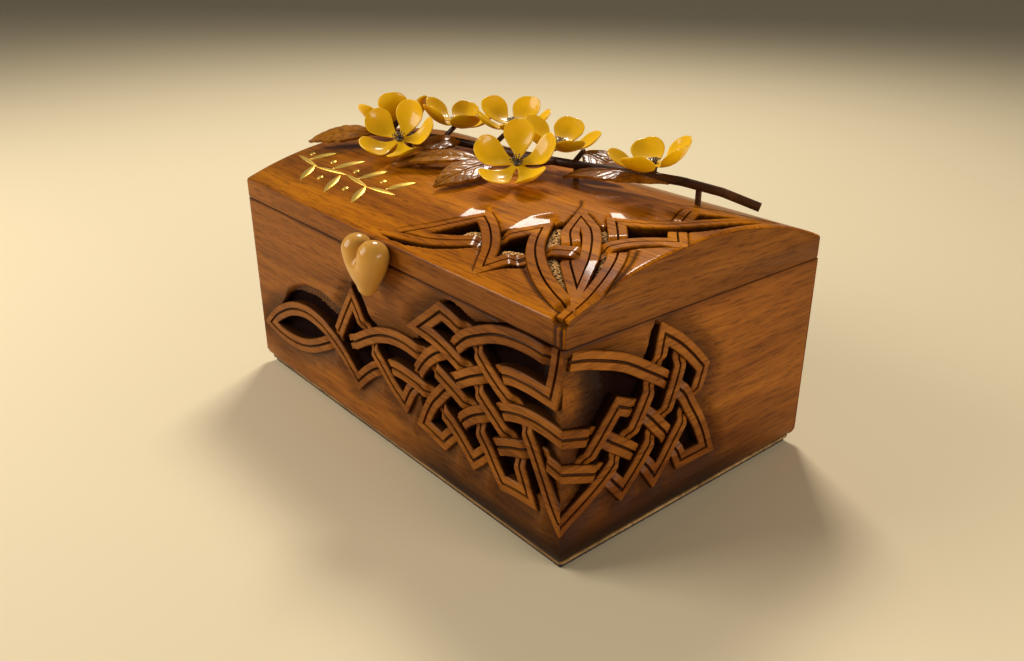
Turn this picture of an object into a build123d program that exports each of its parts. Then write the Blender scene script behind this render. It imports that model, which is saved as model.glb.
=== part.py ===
"""Keepsake box: mitred hardwood case, arched lid on two stop hinges, heart knob and a flower spray."""

from build123d import *
from math import cos, radians, sin, sqrt
import os

os.makedirs("parts", exist_ok=True)

# ---- Driving dimensions, in millimetres ----
# Origin: centre of the underside of the base pad. +X right end, -Y front, +Z up.
BOX_LENGTH = 220.0
BOX_DEPTH = 137.0
SEAM_Z = 84.3
SEAM_GAP = 0.4
EAVES_Z = 93.3
LID_RISE = 14.0
WALL = 12.0
VAULT = 9.0
CORNER_R = 1.8
LID_CORNER_CHAMFER = 1.1
ARRIS_R = 0.7
SEAM_CHAMFER = 0.5

# Foot of the case
PAD_THICK = 2.5
PAD_INSET = 3.2
BOARD_EDGE = 1.2
BOARD_INSET = 2.0
PLUG_HEIGHT = 5.0
TUCK_IN = 2.4
TUCK_HEIGHT = 8.0

# Lining
LINING = 1.5
FLOOR_LINING = 2.5
LINING_GAP = 0.3
LINING_BELOW_RIM = 4.0

# Hinges
HINGE_X = 70.0
HINGE_LENGTH = 24.0
LEAF_THICK = 1.0
LEAF_REACH = 7.5
BARREL_R = 2.0
BARREL_STAND_OFF = 0.2
PIN_R = 0.8
PIN_CLEARANCE = 0.05
KNUCKLE_MIDDLE = 10.0
KNUCKLE_GAP = 0.2
STOP_ANGLE = 95.0
STOP_CLEARANCE = 1.5
STOP_THICK_ANGLE = 20.0
STOP_R = 4.2
STOP_ROOT_R = 2.15
MORTISE_GAP = 0.05
SCREW_R = 0.95
SCREW_HEAD_R = 1.8
SCREW_HEAD_DEPTH = 0.8
SCREW_LENGTH = 6.0
SCREW_HOLE_GAP = 0.05
SCREW_SPACING = 16.0
SCREW_INSET = 4.2

# Heart knob
HEART_X = 5.0
HEART_TIP_Z = 72.5
HEART_LOBE_R = 6.4
HEART_LOBE_REACH = 17.6
HEART_SPREAD = 16.5
HEART_TIP_R = 1.2
HEART_BACK_GAP = 0.4
HEART_PEG_R = 2.0
HEART_PEG_Z = 88.9
HEART_PEG_DEPTH = 7.0
HEART_PAD_R = 3.2

# Spray on the lid
STEM_R = 1.8
STEM_BEND = 14.0
TWIG_R = 1.1
PEG_R = 1.2
PEG_DEPTH = 3.0
PETAL_COUNT = 5
PETAL_LENGTH = 17.5
PETAL_HALF_WIDTH = 6.6
PETAL_CLAW = 1.3
PETAL_WIDEST = 0.62
PETAL_CUP_R = 13.0
PETAL_THICK = 1.3
PETAL_LIFT = 27.0
BOSS_R = 2.5
BOSS_HEIGHT = 1.6
BOSS_DEPTH = 1.6
LEAF_BLADE = 1.5
LEAF_CURVE_R = 65.0

# Places on the spray: centre, facing azimuth (0 is the front, 90 the right end), elevation, roll
FLOWERS = {
    "flower_1": ((-55.0, -19.0, 114.5), 33.0, 55.0, 82.0),
    "flower_2": ((-81.0, -4.0, 117.0), 250.0, 60.0, 148.0),
    "flower_3": ((-54.0, 11.0, 118.4), 140.0, 80.0, -15.0),
    "flower_4": ((-26.5, 22.5, 120.8), 57.0, 78.0, 53.0),
    "flower_5": ((14.4, -8.1, 115.3), 30.0, 54.0, 99.0),
    "flower_6": ((6.0, 21.6, 117.6), 100.0, 80.0, 20.0),
    "flower_7": ((61.0, 21.5, 119.0), -49.0, 80.0, 119.0),
}
# Leaves: base, tip, greatest width, lean of the blade about its length
LEAVES = {
    "leaf_1": ((-84.0, -14.5, 112.5), (-105.0, -38.0, 107.6), 15.0, -16.0),
    "leaf_2": ((-38.0, 2.4, 114.4), (-48.5, -17.5, 111.6), 14.0, -12.0),
    "leaf_3": ((-14.0, -5.5, 111.5), (-44.5, -30.0, 106.8), 11.5, -12.0),
    "leaf_4": ((-2.5, -7.5, 112.5), (-5.0, -36.0, 106.5), 15.0, -14.0),
    "leaf_5": ((19.0, 24.0, 116.5), (40.0, 27.0, 111.0), 15.0, 12.0),
    "leaf_6": ((66.0, 25.6, 113.0), (26.0, 6.0, 110.2), 17.0, -10.0),
}
STEM_ROUTE = [
    (94.0, 47.0, 105.0),
    (82.0, 38.5, 109.8),
    (70.0, 28.5, 113.2),
    (55.0, 19.5, 114.6),
    (36.0, 14.5, 114.0),
    (14.0, 12.0, 113.0),
    (-14.0, 8.0, 112.6),
    (-40.0, 2.0, 113.0),
    (-62.0, -5.5, 113.2),
    (-86.0, -15.0, 112.0),
]
# Twigs run from the main stem to what stands off it
TWIG_TO_FLOWER = {
    "flower_1": (-61.0, -5.1, 113.2),
    "flower_2": (-76.0, -11.0, 112.6),
    "flower_3": (-48.0, -0.7, 113.1),
    "flower_4": (-22.0, 6.2, 112.7),
    "flower_5": (16.0, 12.2, 113.1),
    "flower_6": (2.0, 10.3, 112.8),
    "flower_7": (60.0, 22.5, 114.1),
}
TWIG_TO_LEAF = {
    "leaf_3": (-13.0, 8.1, 112.6),
    "leaf_4": (6.0, 10.9, 112.8),
    "leaf_5": (24.0, 13.1, 113.5),
}
# Heads of the pegs that carry the main stem, on its centre line
SPRAY_PEGS = [(-66.0, -7.1, 113.1), (-30.0, 4.3, 112.9), (26.0, 13.4, 113.5), (75.0, 32.7, 112.0)]

# Knots sunk round the front right corner. Each band is a chain of straight runs down its middle, and
# the gaps that the bands leave inside an outline are sunk. Places are (along the wall, height) on the
# walls and (x, length round the arch from the crown) on the lid.
KNOT_SINK = 4.4
KNOT_CORNER = 6.0
BAND_HALF = 3.3
LID_KNOT_SINK = 3.2
LID_BAND_HALF = 3.4
SMALLEST_GAP = 7.0
SHARPEST = 0.25
FRONT_BANDS = [
    [(61.5, 72.0), (44.5, 76.5), (29.5, 65.5), (40.0, 64.0), (61.5, 57.0)],
    [(48.0, 62.0), (59.0, 71.0), (73.5, 77.5), (87.0, 80.0), (106.5, 78.0)],
    [(107.5, 84.0), (104.0, 65.5), (82.0, 65.5), (73.5, 62.5)],
    [(61.5, 72.0), (72.0, 63.0), (88.0, 53.5)],
    [(47.0, 49.0), (73.5, 62.5)],
    [(34.0, 53.0), (63.0, 42.5)],
    [(48.0, 62.0), (40.0, 58.0), (33.5, 53.0), (24.5, 41.0)],
    [(-25.5, 39.5), (0.0, 51.5), (10.0, 54.5), (20.0, 55.0), (34.0, 53.0)],
    [(3.0, 38.0), (9.0, 40.5), (20.0, 41.5), (38.5, 38.0)],
    [(-8.5, 48.0), (10.0, 32.5), (17.5, 28.0), (24.5, 41.0)],
    [(47.0, 49.0), (37.5, 37.0), (30.5, 25.0), (43.5, 22.5), (51.5, 31.5)],
    [(38.5, 38.0), (51.5, 31.5), (62.5, 23.5), (71.0, 32.0)],
    [(51.5, 31.5), (63.0, 42.5), (73.5, 47.5)],
    [(61.5, 57.0), (85.5, 39.0)],
    [(63.0, 42.5), (79.5, 22.0), (93.0, 23.5), (85.5, 39.0)],
    [(71.0, 32.0), (85.5, 39.0), (96.0, 42.5)],
    [(73.5, 47.5), (88.0, 53.5), (103.0, 54.0), (113.0, 52.5)],
    [(88.0, 53.5), (113.0, 16.0)],
    [(96.5, 42.0), (113.0, 39.5)],
    [(3.0, 38.0), (-3.0, 35.5), (-18.5, 24.0), (-38.0, 36.5), (-58.0, 41.5), (-78.0, 38.0), (-100.5, 24.0)],
    [(-100.5, 24.0), (-92.0, 22.0), (-74.0, 22.0), (-62.0, 24.5), (-37.0, 36.0)],
    [(-36.5, 36.5), (-19.0, 61.5), (-8.5, 48.0)],
]
FRONT_OUTLINE = [
    (-103.0, 23.0),
    (-80.0, 46.0),
    (-60.0, 52.0),
    (-35.0, 48.5),
    (-19.0, 69.5),
    (-5.0, 56.5),
    (27.0, 60.0),
    (46.0, 81.5),
    (63.5, 79.0),
    (90.0, 86.5),
    (114.0, 88.0),
    (114.0, 14.0),
    (104.0, 25.0),
    (79.5, 22.0),
    (72.0, 28.0),
    (62.5, 23.5),
    (56.0, 28.5),
    (43.5, 22.5),
    (30.5, 25.0),
    (24.0, 35.0),
    (17.5, 28.0),
    (1.0, 37.0),
    (-18.5, 24.0),
    (-33.0, 34.0),
    (-78.0, 21.5),
]
RIGHT_BANDS = [
    [(-65.0, 79.5), (-40.0, 71.5), (-14.5, 55.5)],
    [(-24.0, 62.0), (-21.5, 77.0), (-14.0, 71.5), (1.0, 57.5), (-5.0, 43.5)],
    [(-11.0, 68.5), (-15.0, 53.5), (-21.5, 41.0)],
    [(-24.0, 62.0), (-39.5, 39.5)],
    [(-31.0, 50.5), (-43.0, 56.5), (-59.5, 37.0)],
    [(-50.5, 47.5), (-29.5, 31.5)],
    [(-31.0, 50.5), (-13.5, 32.0)],
    [(-14.5, 55.5), (-9.0, 50.0), (0.0, 36.0), (7.0, 21.0), (-8.0, 21.5), (-13.5, 32.0)],
    [(-5.0, 43.5), (-22.5, 20.5), (-29.5, 31.5)],
    [(-21.5, 41.0), (-39.0, 22.0), (-46.5, 32.0)],
    [(-71.5, 16.5), (-46.5, 32.0), (-39.5, 39.5)],
    [(-71.5, 54.0), (-50.5, 47.5)],
    [(-71.5, 41.0), (-46.5, 32.0)],
]
RIGHT_OUTLINE = [
    (-72.0, 82.5),
    (-50.0, 78.5),
    (-30.0, 71.0),
    (-29.0, 87.5),
    (-26.0, 87.5),
    (-21.5, 79.0),
    (1.0, 57.5),
    (-5.0, 43.5),
    (7.0, 21.0),
    (-8.0, 21.5),
    (-15.0, 28.0),
    (-22.5, 20.5),
    (-28.0, 28.0),
    (-39.0, 22.0),
    (-45.0, 29.0),
    (-60.0, 23.5),
    (-72.0, 15.0),
]
LID_BANDS = [
    [(48.0, -48.5), (44.0, -52.0), (30.0, -59.0), (11.0, -63.0), (17.0, -58.5), (32.0, -39.0), (52.0, -52.0)],
    [(52.0, -52.0), (60.5, -62.5), (69.5, -49.5)],
    [(48.0, -48.5), (59.0, -33.5), (69.5, -46.5), (85.0, -56.5), (107.0, -64.5)],
    [(69.5, -47.0), (74.5, -43.0), (88.5, -37.5)],
    [(79.0, -41.0), (68.5, -32.0), (62.5, -18.0), (79.0, -28.5), (91.5, -42.0), (100.0, -56.5), (79.0, -41.0)],
    [(88.5, -37.5), (94.5, -22.5), (105.5, -13.5), (94.5, -1.5)],
    [(91.0, -27.5), (76.0, -13.5), (92.5, -1.5), (101.0, 15.0), (101.5, 43.0), (83.0, 18.0), (94.5, -1.5)],
    [(91.0, -27.5), (97.0, -34.0), (105.0, -50.5), (107.5, -68.5)],
]
LID_OUTLINES = [
    [(11.0, -63.0), (32.0, -39.0), (48.0, -48.5), (30.0, -59.0)],
    [(48.0, -48.5), (59.0, -33.5), (69.5, -47.0), (60.5, -62.5)],
    [
        (59.0, -33.5),
        (62.0, -25.0),
        (76.0, -18.0),
        (76.0, -13.5),
        (91.0, -27.5),
        (105.0, -50.5),
        (107.0, -64.5),
        (85.0, -56.5),
        (69.5, -46.5),
    ],
    [(76.0, -13.5), (94.5, -1.5), (105.5, -13.5), (91.0, -27.5)],
    [(94.5, -1.5), (83.0, 18.0), (91.0, 29.0), (101.5, 43.0), (101.0, 15.0)],
]

# ---- Worked-out dimensions ----
HALF_L = BOX_LENGTH / 2
HALF_D = BOX_DEPTH / 2
CROWN_Z = EAVES_Z + LID_RISE
ARCH_R = (HALF_D**2 + LID_RISE**2) / (2 * LID_RISE)
ARCH_Z = CROWN_Z - ARCH_R
WALL_FOOT_Z = PAD_THICK + BOARD_EDGE
RIM_Z = SEAM_Z - SEAM_GAP / 2
LID_FOOT_Z = SEAM_Z + SEAM_GAP / 2
INNER_L = HALF_L - WALL
INNER_D = HALF_D - WALL
FLOOR_Z = WALL_FOOT_Z + PLUG_HEIGHT
LINED_FLOOR_Z = FLOOR_Z + FLOOR_LINING
LINING_TOP_Z = RIM_Z - LINING_BELOW_RIM
HINGE_Y = HALF_D + BARREL_STAND_OFF + BARREL_R
HEART_PEG_Y = -HALF_D + HEART_PEG_DEPTH / 2
HEART_Y = -HALF_D - HEART_LOBE_R + HEART_BACK_GAP


def arch_height(y, radius=ARCH_R):
    """Height of the lid's arch, or of a parallel arc under it, at the depth y."""
    return ARCH_Z + sqrt(radius**2 - y**2)


# ---- Foot: black pad and bottom board ----
with BuildPart() as base_pad:
    with BuildSketch(Plane.XY):
        RectangleRounded(BOX_LENGTH - 2 * PAD_INSET, BOX_DEPTH - 2 * PAD_INSET, CORNER_R)
    extrude(amount=PAD_THICK)
    fillet(base_pad.faces().sort_by(Axis.Z)[0].edges(), ARRIS_R)

with BuildPart() as bottom_board:
    with BuildSketch(Plane.XY.offset(PAD_THICK)):
        RectangleRounded(BOX_LENGTH - 2 * BOARD_INSET, BOX_DEPTH - 2 * BOARD_INSET, CORNER_R)
    extrude(amount=BOARD_EDGE)
    with BuildSketch(Plane.XY.offset(WALL_FOOT_Z)):
        Rectangle(2 * INNER_L, 2 * INNER_D)
    extrude(amount=PLUG_HEIGHT)


# ---- Knots ----
def joint_wedge(before, joint, after, half):
    """Corners of the mitred point outside the turn of a band, at a joint of two straight runs."""
    first = (joint - before).normalized()
    second = (after - joint).normalized()
    turned = first.X * second.Y - first.Y * second.X
    outer = -half if turned > 0 else half
    one = joint + Vector(-first.Y, first.X) * outer
    other = joint + Vector(-second.Y, second.X) * outer
    middle = (one + other) * 0.5 - joint
    reach = half**2 / max(middle.length, half * SHARPEST)
    return [joint, one, joint + middle.normalized() * reach, other]


def knot_gaps(outline, bands, half):
    """Faces of the gaps that bands leave inside an outline."""
    with BuildSketch() as gaps:
        Polygon(*outline, align=None)
        for points in bands:
            places = [Vector(*point) for point in points]
            for start, end in zip(places, places[1:]):
                side = Vector(start.Y - end.Y, end.X - start.X).normalized() * half
                Polygon(start + side, start - side, end - side, end + side, align=None, mode=Mode.SUBTRACT)
            for before, joint, after in zip(places, places[1:], places[2:]):
                Polygon(*joint_wedge(before, joint, after, half), align=None, mode=Mode.SUBTRACT)
    return [face for face in gaps.sketch.faces() if face.area > SMALLEST_GAP]


def wall_knot(plane, outline, bands, first, last):
    """What is cut from a wall between two places along it, drawn on the plane of its face."""
    with BuildPart() as sunk:
        with BuildSketch(plane):
            for face in knot_gaps(outline, bands, BAND_HALF):
                add(face)
            with Locations(((first + last) / 2, CROWN_Z / 2)):
                Rectangle(last - first, 2 * CROWN_Z, mode=Mode.INTERSECT)
        extrude(amount=-KNOT_SINK)
    return sunk.part


# ---- Case walls: one section, mitred at the corners ----
def wall_section(half_span):
    """Outline of a wall across its thickness, x outward from the box's middle and y up."""
    with BuildSketch() as section:
        with BuildLine():
            foot = (half_span - TUCK_IN, WALL_FOOT_Z)
            swell = (half_span, WALL_FOOT_Z + TUCK_HEIGHT)
            EllipticalCenterArc((foot[0], swell[1]), TUCK_IN, TUCK_HEIGHT, start_angle=270, arc_size=90)
            Polyline(
                swell,
                (half_span, RIM_Z - SEAM_CHAMFER),
                (half_span - SEAM_CHAMFER, RIM_Z),
                (half_span - WALL, RIM_Z),
                (half_span - WALL, WALL_FOOT_Z),
                foot,
            )
        make_face()
    return section.sketch


def hinge_pocket(rim_z, direction):
    """Leaf mortises and screw holes at both hinges, cut from the rim at rim_z."""
    with BuildPart() as pocket:
        mortise_y = HALF_D - (LEAF_REACH + MORTISE_GAP) / 2
        with BuildSketch(Plane.XY.offset(rim_z)):
            with Locations((-HINGE_X, mortise_y), (HINGE_X, mortise_y)):
                Rectangle(HINGE_LENGTH + 2 * MORTISE_GAP, LEAF_REACH + MORTISE_GAP)
        extrude(amount=direction * (LEAF_THICK + MORTISE_GAP))
        with BuildSketch(Plane.XY.offset(rim_z)):
            with Locations((-HINGE_X, HALF_D - SCREW_INSET), (HINGE_X, HALF_D - SCREW_INSET)):
                with GridLocations(SCREW_SPACING, 1, 2, 1):
                    Circle(SCREW_R + SCREW_HOLE_GAP)
        extrude(amount=direction * (SCREW_LENGTH + MORTISE_GAP))
    return pocket.part


def mitred_wall(outward, half_span, half_run, pocket=None):
    """One wall of the case, its section drawn on the plane across its run."""
    run = Vector(0, 0, 1).cross(outward)
    with BuildPart() as wall:
        with BuildSketch(Plane(origin=(0, 0, 0), x_dir=outward, z_dir=outward.cross(Vector(0, 0, 1)))):
            add(wall_section(half_span))
        extrude(amount=half_run, both=True)
        for side in (run, run * -1):
            corner = outward * half_span + side * half_run
            split(bisect_by=Plane(origin=corner, z_dir=outward - side), keep=Keep.TOP)
        with BuildSketch(Plane.XY):
            RectangleRounded(BOX_LENGTH, BOX_DEPTH, CORNER_R)
        extrude(amount=CROWN_Z, mode=Mode.INTERSECT)
        if pocket is not None:
            add(pocket, mode=Mode.SUBTRACT)
    return wall


front_face = Plane(origin=(0, -HALF_D, 0), x_dir=(1, 0, 0), z_dir=(0, -1, 0))
right_face = Plane(origin=(HALF_L, 0, 0), x_dir=(0, 1, 0), z_dir=(1, 0, 0))
front_knot = wall_knot(front_face, FRONT_OUTLINE, FRONT_BANDS, -HALF_L, HALF_L - KNOT_CORNER)
right_knot = wall_knot(right_face, RIGHT_OUTLINE, RIGHT_BANDS, KNOT_CORNER - HALF_D, HALF_D)
front_wall = mitred_wall(Vector(0, -1, 0), HALF_D, HALF_L, front_knot)
back_wall = mitred_wall(Vector(0, 1, 0), HALF_D, HALF_L, hinge_pocket(RIM_Z, -1))
left_wall = mitred_wall(Vector(-1, 0, 0), HALF_L, HALF_D)
right_wall = mitred_wall(Vector(1, 0, 0), HALF_L, HALF_D, right_knot)

# ---- Lining of the case ----
with BuildPart() as lining_floor:
    with BuildSketch(Plane.XY.offset(FLOOR_Z)):
        Rectangle(2 * (INNER_L - LINING_GAP), 2 * (INNER_D - LINING_GAP))
    extrude(amount=FLOOR_LINING)


def side_lining(center_x, center_y, length, depth):
    """A covered panel standing on the lined floor against a wall."""
    with BuildPart() as panel:
        with BuildSketch(Plane(origin=(center_x, center_y, LINED_FLOOR_Z))):
            Rectangle(length, depth)
        extrude(amount=LINING_TOP_Z - LINED_FLOOR_Z)
    return panel


long_run = 2 * (INNER_L - LINING_GAP)
short_run = 2 * (INNER_D - LINING - LINING_GAP)
lining_front = side_lining(0, -INNER_D + LINING / 2, long_run, LINING)
lining_back = side_lining(0, INNER_D - LINING / 2, long_run, LINING)
lining_left = side_lining(-INNER_L + LINING / 2, 0, LINING, short_run)
lining_right = side_lining(INNER_L - LINING / 2, 0, LINING, short_run)

# ---- Lid: hollowed barrel vault ----
def arch_face(half_span, radius, foot_z):
    """Area under an arc of the vault, down to foot_z, across the box's depth."""
    with BuildSketch() as area:
        with BuildLine():
            shoulder_z = arch_height(half_span, radius)
            ThreePointArc((-half_span, shoulder_z), (0, ARCH_Z + radius), (half_span, shoulder_z))
            Polyline(
                (half_span, shoulder_z),
                (half_span, foot_z),
                (-half_span, foot_z),
                (-half_span, shoulder_z),
            )
        make_face()
    return area.sketch


# ---- Spray, in pieces that stand on the lid ----
def facing_plane(center, azimuth, elevation):
    """Plane of a flower at its centre, looking the way that the flower looks."""
    across, up = radians(azimuth), radians(elevation)
    axis = Vector(cos(up) * sin(across), -cos(up) * cos(across), sin(up))
    level = Vector(0, 0, 1).cross(axis)
    return Plane(origin=center, x_dir=level, z_dir=axis)


# One petal: a spoon cut from a thin ball, lifted about its claw
cup_depth = PETAL_CUP_R - sqrt(PETAL_CUP_R**2 - (PETAL_LENGTH / 2) ** 2)
with BuildPart() as petal_blank:
    with Locations((PETAL_LENGTH / 2, 0, PETAL_CUP_R - cup_depth)):
        Sphere(PETAL_CUP_R)
        Sphere(PETAL_CUP_R - PETAL_THICK, mode=Mode.SUBTRACT)
    with BuildSketch(Plane.XY.offset(-PETAL_CUP_R)):
        with BuildLine():
            widest = PETAL_LENGTH * PETAL_WIDEST
            claw = (-BOSS_R / 2, PETAL_CLAW)
            shoulder = (widest, PETAL_HALF_WIDTH)
            Line(claw, (0, PETAL_CLAW))
            Spline((0, PETAL_CLAW), shoulder, tangents=[(1, 0.3), (1, 0)])
            Spline(shoulder, (PETAL_LENGTH, 0), tangents=[(1, 0), (0, -1)])
            mirror(about=Plane.XZ)
            Line(claw, (claw[0], -PETAL_CLAW))
        make_face()
    extrude(amount=2 * PETAL_CUP_R, mode=Mode.INTERSECT)
petal_at_boss = petal_blank.part.rotate(Axis.Y, -PETAL_LIFT).moved(Location((BOSS_R, 0, 0)))
with BuildPart() as petal:
    add(petal_at_boss)
    Cylinder(BOSS_R, 4 * PETAL_CUP_R, mode=Mode.SUBTRACT)

flowers = {}
bosses = {}
for name, (center, azimuth, elevation, roll) in FLOWERS.items():
    facing = facing_plane(center, azimuth, elevation)
    with BuildPart() as flower:
        with Locations(facing):
            with PolarLocations(0, PETAL_COUNT, start_angle=roll):
                add(petal.part)
    flowers[name] = flower
    with BuildPart() as boss:
        with BuildSketch(Plane.XZ):
            with BuildLine():
                top = (0, BOSS_HEIGHT)
                ThreePointArc(top, (BOSS_R * sin(radians(45)), BOSS_HEIGHT * cos(radians(45))), (BOSS_R, 0))
                Polyline((BOSS_R, 0), (TWIG_R, -BOSS_DEPTH), (0, -BOSS_DEPTH), top)
            make_face()
        revolve(axis=Axis.Z)
    with BuildPart() as placed_boss:
        with Locations(facing):
            add(boss.part)
    bosses[name] = placed_boss

with BuildPart() as main_stem:
    with BuildLine() as stem_line:
        FilletPolyline(*STEM_ROUTE, radius=STEM_BEND)
    stem_start = Plane(origin=stem_line.line @ 0, z_dir=stem_line.line % 0)
    with BuildSketch(stem_start):
        Circle(STEM_R)
    sweep(path=stem_line.line)

leaves = {}
for name, (base, tip, width, lean) in LEAVES.items():
    run = Vector(*tip) - Vector(*base)
    length = run.length
    rise = LEAF_CURVE_R - sqrt(LEAF_CURVE_R**2 - (length / 2) ** 2)
    level = Vector(0, 0, 1).cross(run)
    blade_plane = Plane(origin=base, x_dir=run, z_dir=run.cross(level))
    with BuildPart() as blade:
        with Locations((length / 2, 0, rise - LEAF_CURVE_R)):
            Sphere(LEAF_CURVE_R)
            Sphere(LEAF_CURVE_R - LEAF_BLADE, mode=Mode.SUBTRACT)
        with BuildSketch(Plane.XY.offset(-LEAF_CURVE_R / 4)):
            with BuildLine():
                ThreePointArc((0, 0), (length * 0.45, width / 2), (length, 0))
                ThreePointArc((0, 0), (length * 0.45, -width / 2), (length, 0))
            make_face()
        extrude(amount=LEAF_CURVE_R / 2, mode=Mode.INTERSECT)
    with BuildPart() as leaf:
        with Locations(blade_plane):
            with Locations(Location((0, 0, 0), (lean, 0, 0))):
                add(blade.part)
        add(main_stem.part, mode=Mode.SUBTRACT)
    leaves[name] = leaf


def twig(start, end, radius):
    """A straight round twig from one point to another."""
    run = Vector(*end) - Vector(*start)
    with BuildPart() as rod:
        with BuildSketch(Plane(origin=start, z_dir=run)):
            Circle(radius)
        extrude(amount=run.length)
    return rod.part


with BuildPart() as side_twigs:
    for name, start in TWIG_TO_FLOWER.items():
        center, azimuth, elevation, roll = FLOWERS[name]
        back = facing_plane(center, azimuth, elevation).from_local_coords(Vector(0, 0, -BOSS_DEPTH))
        add(twig(start, tuple(back), TWIG_R))
    for name, start in TWIG_TO_LEAF.items():
        add(twig(start, LEAVES[name][0], TWIG_R))
    add(main_stem.part, mode=Mode.SUBTRACT)
    for solid in list(bosses.values()) + list(leaves.values()):
        add(solid.part, mode=Mode.SUBTRACT)

with BuildPart() as spray_pegs:
    for x, y, head_z in SPRAY_PEGS:
        add(twig((x, y, arch_height(y) - PEG_DEPTH), (x, y, head_z), PEG_R))
    add(main_stem.part, mode=Mode.SUBTRACT)

# ---- Lid shell, with its knot, mortises, peg holes and the heart's hole ----
def plan_places(places):
    """Places on the arch as they are in plan."""
    return [(x, ARCH_R * sin(round_arch / ARCH_R)) for x, round_arch in places]


with BuildPart() as lid_gaps:
    with BuildSketch(Plane.XY.offset(LID_FOOT_Z)):
        for outline in LID_OUTLINES:
            plan_bands = [plan_places(band) for band in LID_BANDS]
            for face in knot_gaps(plan_places(outline), plan_bands, LID_BAND_HALF):
                add(face)
    extrude(amount=CROWN_Z - LID_FOOT_Z)
    with BuildSketch(Plane.YZ.offset(-HALF_L)):
        add(arch_face(HALF_D, ARCH_R - LID_KNOT_SINK, LID_FOOT_Z))
    extrude(amount=2 * HALF_L, mode=Mode.SUBTRACT)

with BuildPart() as lid_shell:
    with BuildSketch(Plane.YZ):
        add(arch_face(HALF_D, ARCH_R, LID_FOOT_Z))
    extrude(amount=HALF_L, both=True)
    with BuildSketch(Plane.XY.offset(LID_FOOT_Z)) as lid_plan:
        Rectangle(BOX_LENGTH, BOX_DEPTH)
        chamfer(lid_plan.vertices(), LID_CORNER_CHAMFER)
    extrude(amount=CROWN_Z, mode=Mode.INTERSECT)
    add(lid_gaps.part, mode=Mode.SUBTRACT)
    with BuildSketch(Plane.YZ):
        add(arch_face(INNER_D, ARCH_R - VAULT, LID_FOOT_Z))
    extrude(amount=INNER_L, both=True, mode=Mode.SUBTRACT)
    add(hinge_pocket(LID_FOOT_Z, 1), mode=Mode.SUBTRACT)
    with Locations((HEART_X, HEART_PEG_Y, HEART_PEG_Z)):
        Cylinder(HEART_PEG_R, HEART_PEG_DEPTH, rotation=(90, 0, 0), mode=Mode.SUBTRACT)
    for x, y, head_z in SPRAY_PEGS:
        foot_z = arch_height(y) - PEG_DEPTH
        with Locations((x, y, foot_z)):
            Cylinder(
                PEG_R,
                head_z - foot_z,
                align=(Align.CENTER, Align.CENTER, Align.MIN),
                mode=Mode.SUBTRACT,
            )

with BuildPart() as lid_lining:
    with BuildSketch(Plane.YZ):
        add(arch_face(INNER_D - LINING_GAP, ARCH_R - VAULT, LID_FOOT_Z))
        add(arch_face(INNER_D, ARCH_R - VAULT - LINING, LID_FOOT_Z), mode=Mode.SUBTRACT)
    extrude(amount=INNER_L - LINING_GAP, both=True)

# ---- Heart knob: two tear-shaped lobes, flat at the back, with a peg into the lid ----
with BuildPart() as lobe:
    with BuildSketch(Plane.XZ):
        with BuildLine():
            lobe_top = (0, HEART_LOBE_REACH + HEART_LOBE_R)
            lobe_side = (HEART_LOBE_R, HEART_LOBE_REACH)
            shoulder = (HEART_LOBE_R * cos(radians(45)), HEART_LOBE_REACH + HEART_LOBE_R * sin(radians(45)))
            ThreePointArc(lobe_top, shoulder, lobe_side)
            Spline(lobe_side, (HEART_TIP_R, 0), tangents=[(0, -1), (-0.5, -1)])
            Polyline((HEART_TIP_R, 0), (0, -HEART_TIP_R / 2), lobe_top)
        make_face()
    revolve(axis=Axis.Z)

with BuildPart() as heart_knob:
    for spread in (-HEART_SPREAD, HEART_SPREAD):
        with Locations(Location((HEART_X, HEART_Y, HEART_TIP_Z), (0, spread, 0))):
            add(lobe.part)
    split(bisect_by=Plane(origin=(0, -HALF_D - HEART_BACK_GAP, 0), z_dir=(0, -1, 0)), keep=Keep.TOP)
    with Locations((HEART_X, -HALF_D - HEART_BACK_GAP, HEART_PEG_Z)):
        Cylinder(HEART_PAD_R, 2 * HEART_BACK_GAP, rotation=(90, 0, 0))
    split(bisect_by=Plane(origin=(0, -HALF_D, 0), z_dir=(0, -1, 0)), keep=Keep.TOP)
    with Locations((HEART_X, HEART_PEG_Y, HEART_PEG_Z)):
        Cylinder(HEART_PEG_R, HEART_PEG_DEPTH, rotation=(90, 0, 0))


# ---- Stop hinges ----
def knuckle_spans(belongs_to_lid):
    """Start and end, along the hinge, of the knuckles of one leaf."""
    half = HINGE_LENGTH / 2
    middle = KNUCKLE_MIDDLE / 2
    if belongs_to_lid:
        return [(-middle + KNUCKLE_GAP / 2, middle - KNUCKLE_GAP / 2)]
    return [(-half, -middle - KNUCKLE_GAP / 2), (middle + KNUCKLE_GAP / 2, half)]


def stop_fin(side, root_r):
    """Section of a stop fin behind the barrel: side 1 is the lid's, above, and -1 the box's, below."""
    first = side * (STOP_ANGLE / 2 + (STOP_CLEARANCE if side < 0 else 0))
    last = first + side * STOP_THICK_ANGLE
    with BuildSketch() as fin:
        with BuildLine():
            corners = []
            for radius, angle in ((root_r, first), (STOP_R, first), (STOP_R, last), (root_r, last)):
                turn = radians(angle)
                corners.append((HINGE_Y + radius * cos(turn), SEAM_Z + radius * sin(turn)))
            Polyline(*corners, close=True)
        make_face()
    return fin.sketch


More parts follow.
